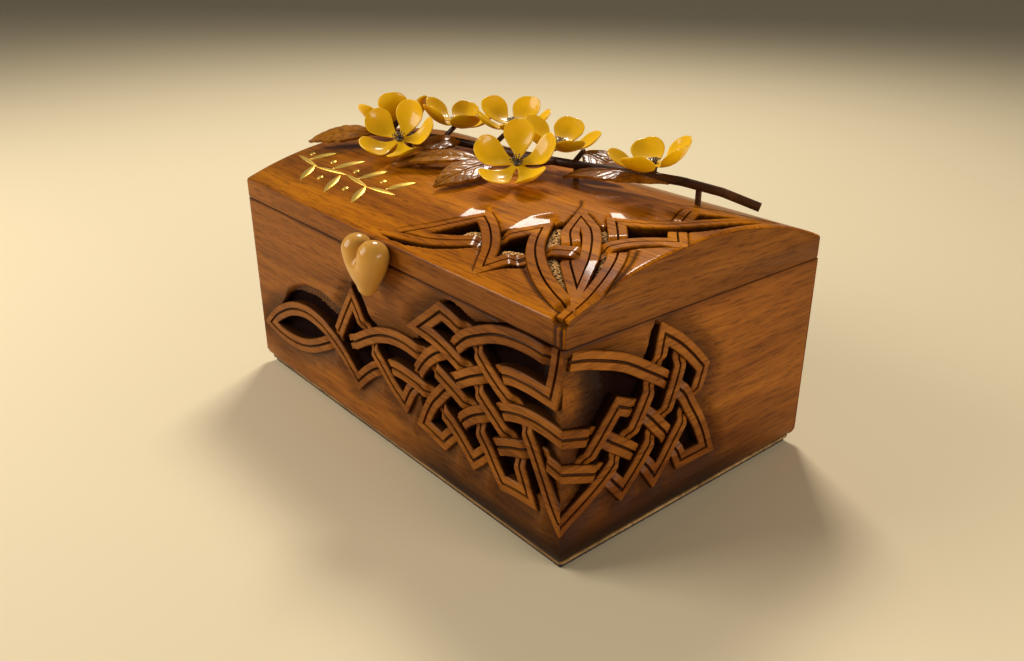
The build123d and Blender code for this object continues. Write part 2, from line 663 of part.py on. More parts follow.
def hinge_leaf(center_x, side):
    """A hinge leaf with its knuckles and stop: side 1 is the lid's leaf, -1 the box's."""
    rim = SEAM_Z + side * SEAM_GAP / 2
    half = HINGE_LENGTH / 2
    with BuildPart() as leaf:
        with BuildSketch(Plane.XY.offset(rim)):
            with Locations((center_x, HALF_D - LEAF_REACH / 2)):
                Rectangle(HINGE_LENGTH, LEAF_REACH)
        extrude(amount=side * LEAF_THICK)
        for start, end in knuckle_spans(side > 0):
            middle = center_x + (start + end) / 2
            with BuildSketch(Plane.XY.offset(rim)):
                with Locations((middle, (HALF_D + HINGE_Y) / 2)):
                    Rectangle(end - start, HINGE_Y - HALF_D)
            extrude(amount=side * LEAF_THICK)
            with BuildSketch(Plane.YZ.offset(center_x + start)):
                with Locations((HINGE_Y, SEAM_Z)):
                    Circle(BARREL_R)
                add(stop_fin(side, BARREL_R - LEAF_THICK / 2))
            extrude(amount=end - start)
        if side > 0:
            with BuildSketch(Plane.YZ.offset(center_x - half)):
                add(stop_fin(side, STOP_ROOT_R))
            extrude(amount=HINGE_LENGTH)
        with Locations((center_x, HINGE_Y, SEAM_Z)):
            Cylinder(PIN_R + PIN_CLEARANCE, 2 * HINGE_LENGTH, rotation=(0, 90, 0), mode=Mode.SUBTRACT)
        screw_plane = Plane(origin=(center_x, HALF_D - SCREW_INSET, rim), z_dir=(0, 0, -side))
        with Locations(screw_plane):
            with GridLocations(SCREW_SPACING, 1, 2, 1):
                CounterSinkHole(
                    SCREW_R + SCREW_HOLE_GAP,
                    SCREW_HEAD_R + SCREW_HOLE_GAP,
                    depth=2 * LEAF_THICK,
                )
    return leaf


def hinge_screws(side):
    """The four screws of both hinges on one side of the seam."""
    rim = SEAM_Z + side * SEAM_GAP / 2
    with BuildPart() as screw:
        with BuildSketch(Plane.XZ):
            with BuildLine():
                Polyline(
                    (0, 0),
                    (SCREW_HEAD_R, 0),
                    (SCREW_R, -SCREW_HEAD_DEPTH),
                    (SCREW_R, -SCREW_LENGTH + SCREW_HEAD_DEPTH),
                    (0, -SCREW_LENGTH),
                    close=True,
                )
            make_face()
        revolve(axis=Axis.Z)
        with BuildSketch(Plane.XY):
            Rectangle(3 * SCREW_HEAD_R, SCREW_HEAD_R / 5)
        extrude(amount=-SCREW_HEAD_DEPTH / 2, mode=Mode.SUBTRACT)
    with BuildPart() as screws:
        for center_x in (-HINGE_X, HINGE_X):
            with Locations(Plane(origin=(center_x, HALF_D - SCREW_INSET, rim), z_dir=(0, 0, -side))):
                with GridLocations(SCREW_SPACING, 1, 2, 1):
                    add(screw.part)
    return screws


def hinge_pin(center_x):
    """The pin on which a hinge turns."""
    with BuildPart() as pin:
        with Locations((center_x, HINGE_Y, SEAM_Z)):
            Cylinder(PIN_R, HINGE_LENGTH, rotation=(0, 90, 0))
        chamfer(pin.edges().filter_by(GeomType.CIRCLE), PIN_R / 4)
    return pin


# ---- Labels and files ----
pieces = {
    "base_pad": base_pad,
    "bottom_board": bottom_board,
    "front_wall": front_wall,
    "back_wall": back_wall,
    "left_wall": left_wall,
    "right_wall": right_wall,
    "lining_floor": lining_floor,
    "lining_front": lining_front,
    "lining_back": lining_back,
    "lining_left": lining_left,
    "lining_right": lining_right,
    "lid_shell": lid_shell,
    "lid_lining": lid_lining,
    "heart_knob": heart_knob,
    "main_stem": main_stem,
    "side_twigs": side_twigs,
    "spray_pegs": spray_pegs,
    "left_hinge_box_leaf": hinge_leaf(-HINGE_X, -1),
    "left_hinge_lid_leaf": hinge_leaf(-HINGE_X, 1),
    "left_hinge_pin": hinge_pin(-HINGE_X),
    "right_hinge_box_leaf": hinge_leaf(HINGE_X, -1),
    "right_hinge_lid_leaf": hinge_leaf(HINGE_X, 1),
    "right_hinge_pin": hinge_pin(HINGE_X),
    "box_hinge_screws": hinge_screws(-1),
    "lid_hinge_screws": hinge_screws(1),
}
pieces.update(leaves)
pieces.update(flowers)
for name, boss in bosses.items():
    pieces[name + "_stamens"] = boss

for name, piece in pieces.items():
    piece.part.label = name
    export_step(piece.part, f"parts/{name}.step")
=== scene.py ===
"""Keepsake box: carved hardwood case, arched lid with a carved corner knot, heart knob and flower spray."""

from math import atan2, cos, pi, radians, sin, sqrt

import bmesh
import bpy
import numpy as np
from bpy.props import FloatProperty, FloatVectorProperty, IntProperty, PointerProperty
from mathutils import Matrix, Vector, noise


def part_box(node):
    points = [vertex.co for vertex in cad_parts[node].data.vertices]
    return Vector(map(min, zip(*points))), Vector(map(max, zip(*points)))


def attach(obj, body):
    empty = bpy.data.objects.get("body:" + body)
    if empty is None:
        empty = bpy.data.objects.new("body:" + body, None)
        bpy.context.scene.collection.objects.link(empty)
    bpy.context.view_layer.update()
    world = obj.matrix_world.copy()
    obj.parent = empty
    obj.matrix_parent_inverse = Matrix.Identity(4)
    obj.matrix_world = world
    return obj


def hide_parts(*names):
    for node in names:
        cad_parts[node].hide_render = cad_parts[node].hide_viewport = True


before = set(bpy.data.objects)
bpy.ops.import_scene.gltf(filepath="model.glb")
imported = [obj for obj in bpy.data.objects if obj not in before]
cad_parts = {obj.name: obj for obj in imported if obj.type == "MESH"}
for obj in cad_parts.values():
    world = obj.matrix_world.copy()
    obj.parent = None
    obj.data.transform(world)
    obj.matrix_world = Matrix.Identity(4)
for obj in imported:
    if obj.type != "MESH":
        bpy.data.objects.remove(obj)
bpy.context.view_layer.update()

bl_info = {
    "name": "Keepsake Box",
    "version": (1, 0, 0),
    "blender": (4, 5, 0),
    "location": "3D View > Sidebar > Keepsake",
    "description": "Builds the carved keepsake box piece by piece on its frame",
    "category": "Object",
}

# ---- Sizes read from the frame. Carving is laid out in millimetres and placed in metres ----
MM = 0.001
wall_low, wall_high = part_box("front_wall")
lid_low, lid_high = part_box("lid_shell")
HALF_L = wall_high.x / MM
HALF_D = -wall_low.y / MM
FOOT_Z = wall_low.z / MM
RIM_Z = wall_high.z / MM
LID_FOOT_Z = lid_low.z / MM
CROWN_Z = lid_high.z / MM
LID_RISE = 14.0
ARCH_R = (HALF_D**2 + LID_RISE**2) / (2 * LID_RISE)
ARCH_Z = CROWN_Z - ARCH_R
WALL = 12.0
VAULT = 9.0
INNER_L = HALF_L - WALL
INNER_D = HALF_D - WALL
TUCK_IN = 2.4
TUCK_HEIGHT = 8.0
SEAM_CHAMFER = 0.35
# Height of the line of painted shade on each side of the seam
SEAM_SHADE = 0.45
CORNER_R = 1.8
# How far the hinge leaves stand out of the lid's rim, which has no mortise for them
LEAF_PROUD = 0.05
LID_RIM_Z = LID_FOOT_Z + LEAF_PROUD
# The lid's end faces, within this of the end, have neither staining nor painted shade
END_SKIN = 0.01
# Width of the rim's edge over which the seam's painted shade ends
RIM_STEP = 0.3
# How far a band's cut end stays behind the face that it would reach
BAND_INSET = 0.04
# The hollows' staining and painted shade reach their full tone this many times further from the corner than
# the depth does
STAIN_SHADE_RUN = 1.5
# Depth at which a band's flanks and groove are fully darkened with staining and painted shade
STAIN_SHADE_DEPTH = 1.3
# Ground deeper than this is roughened
STIPPLE_FROM = 1.2
# The hollows' punched ground lies deeper than this
GROUND_DEPTH = 1.9
LID_GROUND_DEPTH = 1.3
# Painted shade along the carved walls' feet: whole up to the first height, gone after the rise
FOOT_SHADE_LOW = 7.0
FOOT_SHADE_RISE = 17.0
# Heights in the two wall carvings are measured from this level
LAYOUT_Z = 3.0

# ---- Carved bands. Each is a list of runs: a smooth line through its points, with a sharp turn where
# ---- one run meets the next. An end sinks under another band unless it is listed as open, as the band's
# ---- name with 0 for its start or 1 for its end. A wall's points are (along, up), the lid's (x, round it).
FRONT_BANDS = {
    "A": [
        [(61.5, 69.2), (55, 70.8), (50, 72.2), (44.3, 73.4)],
        [(44.3, 73.4), (29.7, 62.4)],
        [(29.7, 62.4), (40, 61.2), (50, 58.4), (61.5, 54)],
    ],
    "B": [[(48, 58.9), (53.5, 63.5), (59, 68), (66, 71.5), (73.6, 74.6), (80.7, 76.4), (87, 77.1),
           (94, 77.2), (101, 76.5), (106.3, 75.2)]],
    "C": [[(107.6, 81.1), (106.3, 73), (103.8, 62.7)], [(103.8, 62.7), (92, 63.3), (82, 62.4), (73.5, 59.3)]],
    "D": [[(61.5, 69), (66.5, 64.5), (72, 60), (78, 56), (82.5, 53.6), (88, 50.3)]],
    "E": [[(47, 45.9), (54, 49.8), (60, 53.4), (68, 57.3), (73.5, 59.3)]],
    "F": [[(34.2, 50.2), (41, 48), (50, 45), (57, 42.3), (63, 39.4)]],
    "G": [[(48, 58.9), (40, 55.2), (33.6, 50), (28.6, 44), (24.5, 38)]],
    "H": [[(-25.5, 36.3), (-19, 39), (-10, 44), (0, 48.6), (10, 51.3), (20, 52), (28, 51.2), (34.2, 50.2)]],
    "I": [[(3.2, 34.8), (9, 37.6), (20, 38.3), (30, 37.3), (38.4, 34.8)]],
    "J": [[(-8.3, 45), (-4, 40.5), (3.2, 34.8), (10, 29.5), (17.5, 25.2)],
          [(17.5, 25.2), (21, 31), (24.5, 38)]],
    "K": [
        [(47, 45.9), (43.5, 40.5), (37.5, 34), (33, 27), (30.5, 22)],
        [(30.5, 22), (43.5, 19.5)],
        [(43.5, 19.5), (48, 24.3), (51.3, 28.7)],
    ],
    "L": [[(38.4, 34.8), (44, 32.4), (51.3, 28.7), (57, 24.5), (62.3, 20.3)],
          [(62.3, 20.3), (66, 23.5), (71, 29.2)]],
    "M": [[(51.3, 28.7), (56.5, 34.5), (63, 39.4), (69, 42.4), (73.6, 44.4)]],
    "N": [[(61.5, 54), (66.5, 49.4), (73.6, 44.4), (80, 40.2), (85.3, 36.2)]],
    "O": [
        [(63, 39.4), (66.5, 34), (71, 29.2), (75, 24), (79.3, 19)],
        [(79.3, 19), (86, 20), (93, 20.3)],
        [(93, 20.3), (88.5, 30), (85.3, 36.2)],
    ],
    "P": [[(71, 29.2), (77.5, 33), (85.3, 36.2), (91, 38), (96, 39.3)]],
    "Q": [[(73.6, 44.4), (80, 47.9), (88, 50.3), (95, 51.2), (103, 51), (110, 50.1), (113, 49.6)]],
    "R": [[(88, 50.3), (92.9, 44.3), (100, 32.3), (105.5, 22.5), (110, 16.2), (113, 12.9)]],
    "S": [[(96.5, 39.2), (102, 38.6), (110, 37.2), (113, 36.6)]],
    "T": [
        [(3.2, 34.8), (-3, 32.6), (-10, 28), (-18.6, 20.8)],
        [(-18.6, 20.8), (-24, 25), (-30, 29.5), (-38, 33.6), (-46, 36.6), (-58, 38.4), (-68, 37.6),
         (-78, 34.8), (-88, 30), (-95, 25.5), (-100.5, 20.8)],
        [(-100.5, 20.8), (-92, 19), (-84, 18.5), (-74, 19), (-62, 21.6), (-52, 25.6), (-44, 29.5), (-37, 33)],
    ],
    "U": [[(-36.5, 33.5), (-32.5, 39), (-25, 50), (-18.8, 58.5)],
          [(-18.8, 58.5), (-15, 53.5), (-12.3, 49.5), (-8.3, 45)]],
}
FRONT_OPEN = {("C", 0), ("Q", 1), ("R", 1), ("S", 1)}

RIGHT_BANDS = {
    "a": [[(-65, 76.6), (-60, 75.6), (-50, 72.5), (-40, 68.5), (-30, 62.5), (-20, 56.2), (-14.6, 52.4)]],
    "b": [
        [(-24.2, 59), (-23.2, 65.5), (-21.7, 73.8)],
        [(-21.7, 73.8), (-14, 68.6), (-6, 61.6), (0.8, 54.6)],
        [(0.8, 54.6), (-1.5, 47.5), (-4.8, 40.3)],
    ],
    "c": [[(-10.9, 65.6), (-12.7, 57.3), (-15, 50.3), (-17.6, 44), (-21.5, 37.8)]],
    "d": [[(-24.2, 59), (-27.6, 54), (-31, 47.7), (-35, 41.3), (-39.5, 36.3)]],
    "e": [[(-31, 47.7), (-37, 50.6), (-42.9, 53.4)],
          [(-42.9, 53.4), (-50.6, 44.4), (-55.5, 39), (-59.5, 34)]],
    "f": [[(-50.6, 44.4), (-45, 40.2), (-39.5, 36.3), (-34, 32.2), (-29.6, 28.4)]],
    "g": [[(-31, 47.7), (-25.7, 42.4), (-21.5, 37.8), (-17.5, 33.6), (-13.3, 28.9)]],
    "h": [
        [(-14.6, 52.4), (-9, 46.8), (-4.8, 40.3), (0, 33), (4, 25.5), (7, 18.2)],
        [(7, 18.2), (-8, 18.3)],
        [(-8, 18.3), (-10.5, 23.5), (-13.3, 28.9)],
    ],
    "i": [[(-4.8, 40.3), (-9.5, 33.8), (-13.3, 28.9), (-17.5, 23), (-22.3, 17.6)],
          [(-22.3, 17.6), (-26.5, 23.6), (-29.6, 28.4)]],
    "j": [[(-21.5, 37.8), (-25.5, 33.3), (-29.6, 28.4), (-34, 23.5), (-39, 18.8)],
          [(-39, 18.8), (-43, 23.6), (-46.6, 28.9)]],
    "k": [[(-71.5, 13.4), (-68.5, 16.2), (-65, 18.3), (-60, 20.8), (-53, 24.6), (-46.6, 28.9), (-43, 32),
           (-39.5, 36.3)]],
    "l": [[(-71.5, 50.8), (-68.5, 50.1), (-62, 48.2), (-57, 46.6), (-50.6, 44.4)]],
    "m": [[(-71.5, 38), (-68.5, 37.2), (-60, 34), (-54, 31.6), (-46.6, 28.9)]],
}
RIGHT_OPEN = {("a", 0), ("k", 0), ("l", 0), ("m", 0)}

LID_BANDS = {
    "leaf": [
        [(48, -48.6), (44, -52.2), (38, -55.6), (30, -59), (20, -61.8), (11, -63)],
        [(11, -63), (17, -58.3), (23, -51.3), (28, -44.5), (31.8, -38.8)],
        [(31.8, -38.8), (38, -41.8), (44, -45.6), (52, -52), (60.3, -62.3)],
        [(60.3, -62.3), (63.8, -56.5), (69.5, -49.5)],
    ],
    "sweep": [
        [(48, -48.6), (51.6, -43.8), (58.8, -33.4)],
        [(58.8, -33.4), (64, -40.5), (69.5, -46.3), (76, -51.3), (85, -56.6), (95, -60.8), (107, -64.5)],
    ],
    "bar": [[(69.5, -47.2), (74.5, -43), (80, -40.5), (88.5, -37.5)]],
    "eye": [
        [(81, -40), (75, -34.6), (70.4, -30.6), (66.4, -25), (62.6, -18)],
        [(62.6, -18), (72, -22.8), (79, -28.3), (85.5, -35), (91.3, -42), (96, -48.5), (99.5, -55)],
        [(99.5, -55), (95, -51.8), (90.5, -48.8), (85.8, -45), (81, -40)],
    ],
    "right_bar": [
        [(88.5, -37.5), (90, -29.5), (94.5, -22.5), (100, -17.5), (105.4, -13.6)],
        [(105.4, -13.6), (101, -9), (94.5, -1.5)],
    ],
    "right_sweep": [
        [(91, -27.5), (83, -19.8), (75.8, -13.3)],
        [(75.8, -13.3), (85, -8.2), (91.8, -1.7), (95.8, 6.5), (98.4, 15), (100.2, 28), (101.5, 43)],
        [(101.5, 43), (96, 36), (90, 28.5), (83, 19.5)],
        [(83, 19.5), (86.5, 13), (90.5, 6), (94.5, -1.5)],
    ],
    "corner": [[(91, -27.5), (96.8, -34), (101.5, -42), (105, -50.5), (107, -58), (107.6, -68.6)]],
}
LID_OPEN = {("corner", 1)}

# ---- Hollows under the bands: outline, depth and width of the slope at its edge ----
FRONT_WELLS = [
    (
        [(-103, 20), (-92, 31.5), (-86, 37), (-80, 43), (-72, 46.5), (-62, 48.3), (-50, 48.5), (-35, 45.3),
         (-27, 52), (-18.8, 66.5), (-14, 65.5), (-5, 53.5), (0, 51), (10, 53), (20, 54.5), (27, 57),
         (29.7, 62.4), (42.5, 74), (46, 78.5), (51, 79.9), (57, 78.6), (63.5, 75.9), (70, 78), (80, 81.3),
         (90, 83.6), (100, 84.8), (114, 85), (114, 11), (109, 15), (104, 22), (98, 23), (93, 20.3),
         (79.3, 19), (75, 24), (70, 25.5), (62.3, 20.3), (56, 25.5), (50, 24), (43.5, 19.5), (30.5, 22),
         (27, 31), (22, 32), (17.5, 25.2), (8, 31), (1, 34), (-5, 31), (-18.6, 20.8), (-33, 31), (-44, 29.5),
         (-62, 21.6), (-78, 18.6), (-95, 19)],
        4.4, 1.4,
    ),
    (
        [(-103, 22), (-96, 29), (-90, 34), (-84, 40), (-78, 45.5), (-70, 50), (-60, 53), (-48, 54),
         (-38, 53.3), (-30, 50.5), (-26, 48), (-36, 38), (-58, 38), (-78, 35)],
        2.4, 2.0,
    ),
]
RIGHT_WELLS = [
    (
        [(-72, 79.5), (-60, 78.3), (-50, 75.3), (-40, 71.2), (-31, 66.3), (-29.8, 70), (-28.4, 76),
         (-27, 81.5), (-25, 78.6), (-21.7, 76), (-14, 68.6), (-6, 61.6), (0.8, 54.6), (-2.5, 46.5),
         (-4.8, 40.3), (0, 33), (4, 25.5), (7, 18.2), (-8, 18.3), (-12, 24), (-15, 25), (-22.3, 17.6),
         (-28, 25), (-32, 24), (-39, 18.8), (-45, 26), (-50, 25.5), (-60, 20.6), (-72, 12)],
        4.4, 1.4,
    ),
]
LID_WELLS = [
    ([(11, -63), (23, -51.3), (31.8, -38.8), (48, -48.6), (30, -59)], 4.2, 1.0),
    ([(48, -48.6), (58.8, -33.4), (69.5, -47), (60.3, -62.3)], 4.2, 1.0),
    (
        [(58.8, -33.4), (60.3, -27.3), (64, -24), (73, -22), (76.5, -18.5), (75.8, -13.3), (83, -19.8),
         (91, -27.5), (96.8, -34), (101.5, -42), (105, -50.5), (107, -60), (107, -64.5), (95, -60.8),
         (85, -56.6), (76, -51.3), (69.5, -46.3)],
        4.2, 1.0,
    ),
    ([(75.8, -13.3), (85, -8.2), (94.5, -1.5), (105.4, -13.6), (94.5, -22.5), (91, -27.5)], 4.2, 1.0),
    ([(94.5, -1.5), (83, 19.5), (90, 28.5), (101.5, 43), (98.4, 15)], 4.2, 1.0),
    ([(104.8, 37), (106.6, 24), (106.2, 8), (104.2, 0), (101.3, -5), (97, -3), (96.5, 6.5), (100.2, 22)],
     2.4, 1.0),
    ([(-2, -67), (10, -68.4), (20, -67.8), (33, -64.4), (42, -60), (50, -54.6), (44, -52.2), (30, -59),
      (11, -63)], 2.2, 1.0),
    ([(61.3, -67), (64.6, -63.5), (69, -59.5), (75.5, -56), (70, -50), (62, -60)], 2.2, 1.0),
    ([(91, -27.5), (92.5, -33), (97.5, -28.5), (101, -24), (109, -17), (105.4, -13.6), (94.5, -22.5)],
     2.4, 1.0),
]
# Flat scoops beside a knot: the band edge they lie along (its outer side on the left), depth at its
# middle, slope in x and y, and reach
LID_SCOOPS = [
    ((20.0, -49.0), (31.0, -36.0), 1.0, (0.278, 0.061), 9.0),
    ((47.5, -43.0), (59.5, -28.0), 1.4, (0.24, 0.01), 10.0),
    ((73.5, -13.0), (84.0, -3.5), 1.8, (0.153, -0.206), 9.0),
]
# Length over which a scoop runs out at its ends and sides
SCOOP_END = 3.0
# Strips of the hollows' ground left pale: middle line and reach
LID_PALE = [
    ([(63.5, -30), (66.5, -35.5), (71, -41), (77, -46.5), (84, -50.5), (91, -54.3), (99, -58.5)], 4.0),
    ([(91, -31.5), (94.5, -37), (97.5, -44), (100.5, -52), (103, -59)], 3.6),
    ([(37, -50), (42, -48.5)], 6.5),
    ([(59, -51.5), (64, -50)], 4.0),
    ([(73.5, -19.5), (82, -24.5)], 3.4),
]
# Depth of the lid's surface under a band, and painted shadow of the fine line beside it
BED_DEPTH = 1.6
OUTLINE_SHADOW = 0.8
# Share of its depth by which pale ground stands up
PALE_RISE = 0.55
# Fine lines engraved beside the knot
LID_LINES = [
    [(50, -6), (55, -11), (59, -17.5), (63.5, -26.5)],
    [(61.5, -18.5), (64.5, -24.5), (66.5, -30)],
    [(75, -56.5), (83, -60.6), (93, -64.4), (107, -67.4)],
    [(100, -27.5), (104.6, -35.5), (108, -45), (109.2, -57)],
    [(105.6, -68.4), (105.6, -90)],
    [(108.2, -68.4), (108.2, -90)],
]

# ---- Places on the spray: centre, facing azimuth (0 is the front, 90 the right end), elevation, roll ----
FLOWERS = {
    "flower_1": ((-55.0, -19.0, 114.5), 33.0, 55.0, 82.0),
    "flower_2": ((-81.0, -4.0, 117.0), 250.0, 60.0, 148.0),
    "flower_3": ((-54.0, 11.0, 118.4), 140.0, 80.0, -15.0),
    "flower_4": ((-26.5, 22.5, 120.8), 57.0, 78.0, 53.0),
    "flower_5": ((14.4, -8.1, 115.3), 30.0, 54.0, 99.0),
    "flower_6": ((6.0, 21.6, 117.6), 100.0, 80.0, 20.0),
    "flower_7": ((61.0, 21.5, 119.0), -49.0, 80.0, 119.0),
}
# Leaves: base, tip, greatest width, lean of the blade about its length
LEAVES = {
    "leaf_1": ((-84.0, -14.5, 112.5), (-105.0, -38.0, 107.6), 15.0, -16.0),
    "leaf_2": ((-38.0, 2.4, 114.4), (-48.5, -17.5, 111.6), 14.0, -12.0),
    "leaf_3": ((-14.0, -5.5, 111.5), (-44.5, -30.0, 106.8), 11.5, -12.0),
    "leaf_4": ((-2.5, -7.5, 112.5), (-5.0, -36.0, 106.5), 15.0, -14.0),
    "leaf_5": ((19.0, 24.0, 116.5), (40.0, 27.0, 111.0), 15.0, 12.0),
    "leaf_6": ((66.0, 25.6, 113.0), (26.0, 6.0, 110.2), 17.0, -10.0),
}
LEAF_CURVE_R = 65.0
PETAL_COUNT = 5
PETAL_LENGTH = 17.5
PETAL_HALF_WIDTH = 6.6
PETAL_CLAW = 1.3
PETAL_CUP_R = 13.0
PETAL_LIFT = 27.0
BOSS_R = 2.5
BOSS_HEIGHT = 1.6
BOSS_DEPTH = 1.6
HEART_X = 5.0
HEART_TIP_Z = 72.5
HEART_LOBE_R = 6.0
HEART_LOBE_REACH = 17.6
HEART_SPREAD = 19.0
HEART_TIP_R = 2.2
HEART_BACK_GAP = 0.4
# The cleft between the lobes fades out below this height over the tip
HEART_CLEFT_Z = 16.5
HEART_CLEFT_FADE = 7.0
HEART_MELT = 6.0
HEART_FULLNESS = 2.5
HEART_TIP_LIFT = 3.2
HEART_PEG_R = 2.0
HEART_PEG_Z = 88.9
HEART_PEG_DEPTH = 7.0
HEART_PAD_R = 3.2
HEART_Y = -HALF_D - HEART_LOBE_R + HEART_BACK_GAP


# ---- Sizes and colours in the sidebar ----
def length(name, description, default):
    """A length in millimetres, which the sidebar shows as a bare number."""
    return FloatProperty(name=name, description=description, default=default, min=0.0)


def fraction(name, description, default):
    """A share of a whole."""
    return FloatProperty(
        name=name, description=description, default=default, min=0.0, max=1.0, subtype="FACTOR"
    )


def colour(name, description, default):
    """A linear colour."""
    return FloatVectorProperty(
        name=name, description=description, default=default, size=3, min=0.0, max=1.0, subtype="COLOR"
    )


class CarvingSizes(bpy.types.PropertyGroup):
    """Sizes of the carved knots, in millimetres."""

    cell: length("Cell", "Spacing of the surface under the knots", 0.7)
    step: length("Step", "Spacing along a band", 0.9)
    band_half: length("Band half width", "Half the width of a wall band", 3.3)
    lid_band_half: length("Lid band half width", "Half the width of a lid band", 3.4)
    band_root: length("Band root", "How far a band's flanks run down", 6.0)
    groove_half: length("Groove half width", "Half the width of the groove along a band", 0.62)
    groove_depth: length("Groove depth", "Depth of the groove along a band", 1.2)
    arris: length("Arris", "Rounding of a band's edges", 0.35)
    lid_groove_half: length("Lid groove half width", "Half the width of the groove along a lid band", 0.42)
    outline: length("Outline", "Width of the fine line beside a lid band", 0.8)
    line_half: length("Line half width", "Half the width of an engraved line", 1.15)
    line_depth: length("Line depth", "Depth of an engraved line", 0.3)
    # Shade and shade reach: share and width of the darkening round a wall's knot, partly staining and partly
    # painted shade in its dish
    shade: fraction("Shade", "Share of the stain rubbed on around a wall's knot", 0.62)
    shade_reach: length("Shade reach", "Width of the stain rubbed on around a wall's knot", 13.0)
    # Foot shade: share of the painted shade along a carved wall's foot
    foot_shade: fraction("Foot shade", "Share of the stain along a carved wall's foot", 0.94)
    dip: length("Dip", "How far a band's end sinks under another", 1.7)
    dip_start: length("Dip start", "Distance from its end at which a band begins to sink", 7.0)
    dip_end: length("Dip end", "Distance from its end at which a band is fully sunk", 3.8)
    dish_depth: length("Dish depth", "Depth of the soft dish around a wall's knot", 1.6)
    dish_reach: length("Dish reach", "Width of the soft dish around a wall's knot", 8.0)
    knot_corner_r: length("Knot corner radius", "Rounding of the carved corner", 0.9)
    lid_edge_r: length("Lid edge radius", "Rounding of the lid's edges", 1.5)
    stipple: length("Stipple", "Roughness of the punched ground", 0.32)


class SpraySizes(bpy.types.PropertyGroup):
    """Sizes of the flowers and leaves, in millimetres."""

    petal_thick: length("Petal thickness", "Thickness of a petal's blade", 0.75)
    petal_crease: length("Petal crease", "Depth of the fold along a petal", 0.35)
    leaf_thick: length("Leaf thickness", "Thickness of a leaf's blade", 1.1)
    vein_height: length("Vein height", "Height of the veins on a leaf", 0.45)
    filaments: IntProperty(name="Filaments", description="Stamens in each flower", default=19, min=3)
    filament_r: length("Filament radius", "Radius of a stamen's wire", 0.16)
    filament_length: length("Filament length", "Length of a stamen's wire", 2.0)
    bead_r: length("Bead radius", "Radius of a stamen's head", 0.34)


class KeepsakeColours(bpy.types.PropertyGroup):
    """Colours of the woods, the metals, the cloths and the floor."""

    case_light: colour("Case, light", "Light grain of the case", (0.38, 0.126, 0.012))
    case_dark: colour("Case, dark", "Dark grain of the case", (0.17, 0.046, 0.003))
    lid_light: colour("Lid, light", "Light grain of the lid", (0.74, 0.240, 0.0005))
    lid_dark: colour("Lid, dark", "Dark grain of the lid", (0.31, 0.082, 0.0005))
    ground: colour("Ground", "Punched ground left pale", (1.0, 0.53, 0.18))
    # Hollow: the near-black of the staining and painted shade in the hollows, grooves, lines and seam, round
    # a wall's knot and along its foot
    hollow: colour("Hollow", "Stain in the hollows", (0.007, 0.0012, 0.0004))
    petal: colour("Petal", "Yellow petals", (1.0, 0.56, 0.004))
    heart: colour("Heart", "Pale heart", (0.66, 0.32, 0.050))
    leaf_light: colour("Leaf, light", "Light grain of the leaves", (0.52, 0.20, 0.006))
    leaf_dark: colour("Leaf, dark", "Dark grain of the leaves", (0.17, 0.046, 0.003))
    stem: colour("Stem", "Stem and twigs", (0.12, 0.045, 0.012))
    velvet: colour("Velvet", "Lining", (0.09, 0.008, 0.014))
    felt: colour("Felt", "Base pad", (0.012, 0.010, 0.010))
    board: colour("Board", "Pale bottom board", (0.45, 0.27, 0.11))
    brass: colour("Brass", "Hinges", (0.62, 0.42, 0.16))
    steel: colour("Steel", "Screws", (0.42, 0.40, 0.38))
    wire: colour("Wire", "Stamens", (0.15, 0.12, 0.10))
    gilt: colour("Gilt", "Gilded ornament", (1.0, 0.66, 0.13))
    floor: colour("Floor", "Pale floor", (0.79, 0.66, 0.43))


def carving():
    """Sizes of the carving."""
    return bpy.context.scene.keepsake_carving


def spray():
    """Sizes of the spray."""
    return bpy.context.scene.keepsake_spray


def colours():
    """Colours of the scene."""
    return bpy.context.scene.keepsake_colours


# ---- Lines and distances ----
# Distance that no point reaches, and a length too short to divide by
FAR = 1e9
TINY = 1e-9
# Points drawn in each stretch of a smooth line before they are spaced evenly
SPAN_POINTS = 24
# Step at which a line is followed where only the distance from it counts
COARSE_STEP = 3.0


def smooth_step(t):
    """Eased ramp from 0 to 1, on numbers or arrays."""
    t = np.clip(t, 0.0, 1.0)
    return t * t * (3 - 2 * t)


def lengths_along(line):
    """Length of a line up to each of its points."""
    return np.concatenate([[0.0], np.cumsum(np.linalg.norm(np.diff(line, axis=0), axis=1))])


def even_line(points, step):
    """Points evenly spaced along the smooth line through the given ones."""
    points = np.array(points, float)
    chord = lengths_along(points)
    slopes = np.gradient(points, chord, axis=0) if len(points) > 2 else np.diff(points, axis=0) / chord[1]
    slopes = np.broadcast_to(slopes, points.shape)
    t = np.linspace(0, 1, SPAN_POINTS)[:, None]
    dense = []
    for i, span in enumerate(np.diff(chord)):
        start = (2 * t**3 - 3 * t**2 + 1) * points[i] + (t**3 - 2 * t**2 + t) * span * slopes[i]
        end = (3 * t**2 - 2 * t**3) * points[i + 1] + (t**3 - t**2) * span * slopes[i + 1]
        dense.append((start + end)[min(i, 1):])
    dense = np.concatenate(dense)
    along = lengths_along(dense)
    count = max(int(round(along[-1] / step)), 1)
    wanted = np.linspace(0, along[-1], count + 1)
    return np.stack([np.interp(wanted, along, dense[:, k]) for k in range(dense.shape[1])], axis=1)


def line_distance(points, line, closed=False):
    """Distance of each point from a line of segments."""
    line = np.array(line, float)
    if closed:
        line = np.concatenate([line, line[:1]])
    nearest = np.full(len(points), FAR)
    for a, b in zip(line[:-1], line[1:]):
        run = b - a
        share = np.clip(((points - a) @ run) / max(run @ run, TINY), 0, 1)
        nearest = np.minimum(nearest, np.hypot(*(points - a - share[:, None] * run).T))
    return nearest


def band_distance(points, bands):
    """Distance of each point from the middle line of the nearest band."""
    nearest = np.full(len(points), FAR)
    for run in (run for runs in bands.values() for run in runs):
        nearest = np.minimum(nearest, line_distance(points, even_line(run, COARSE_STEP)))
    return nearest


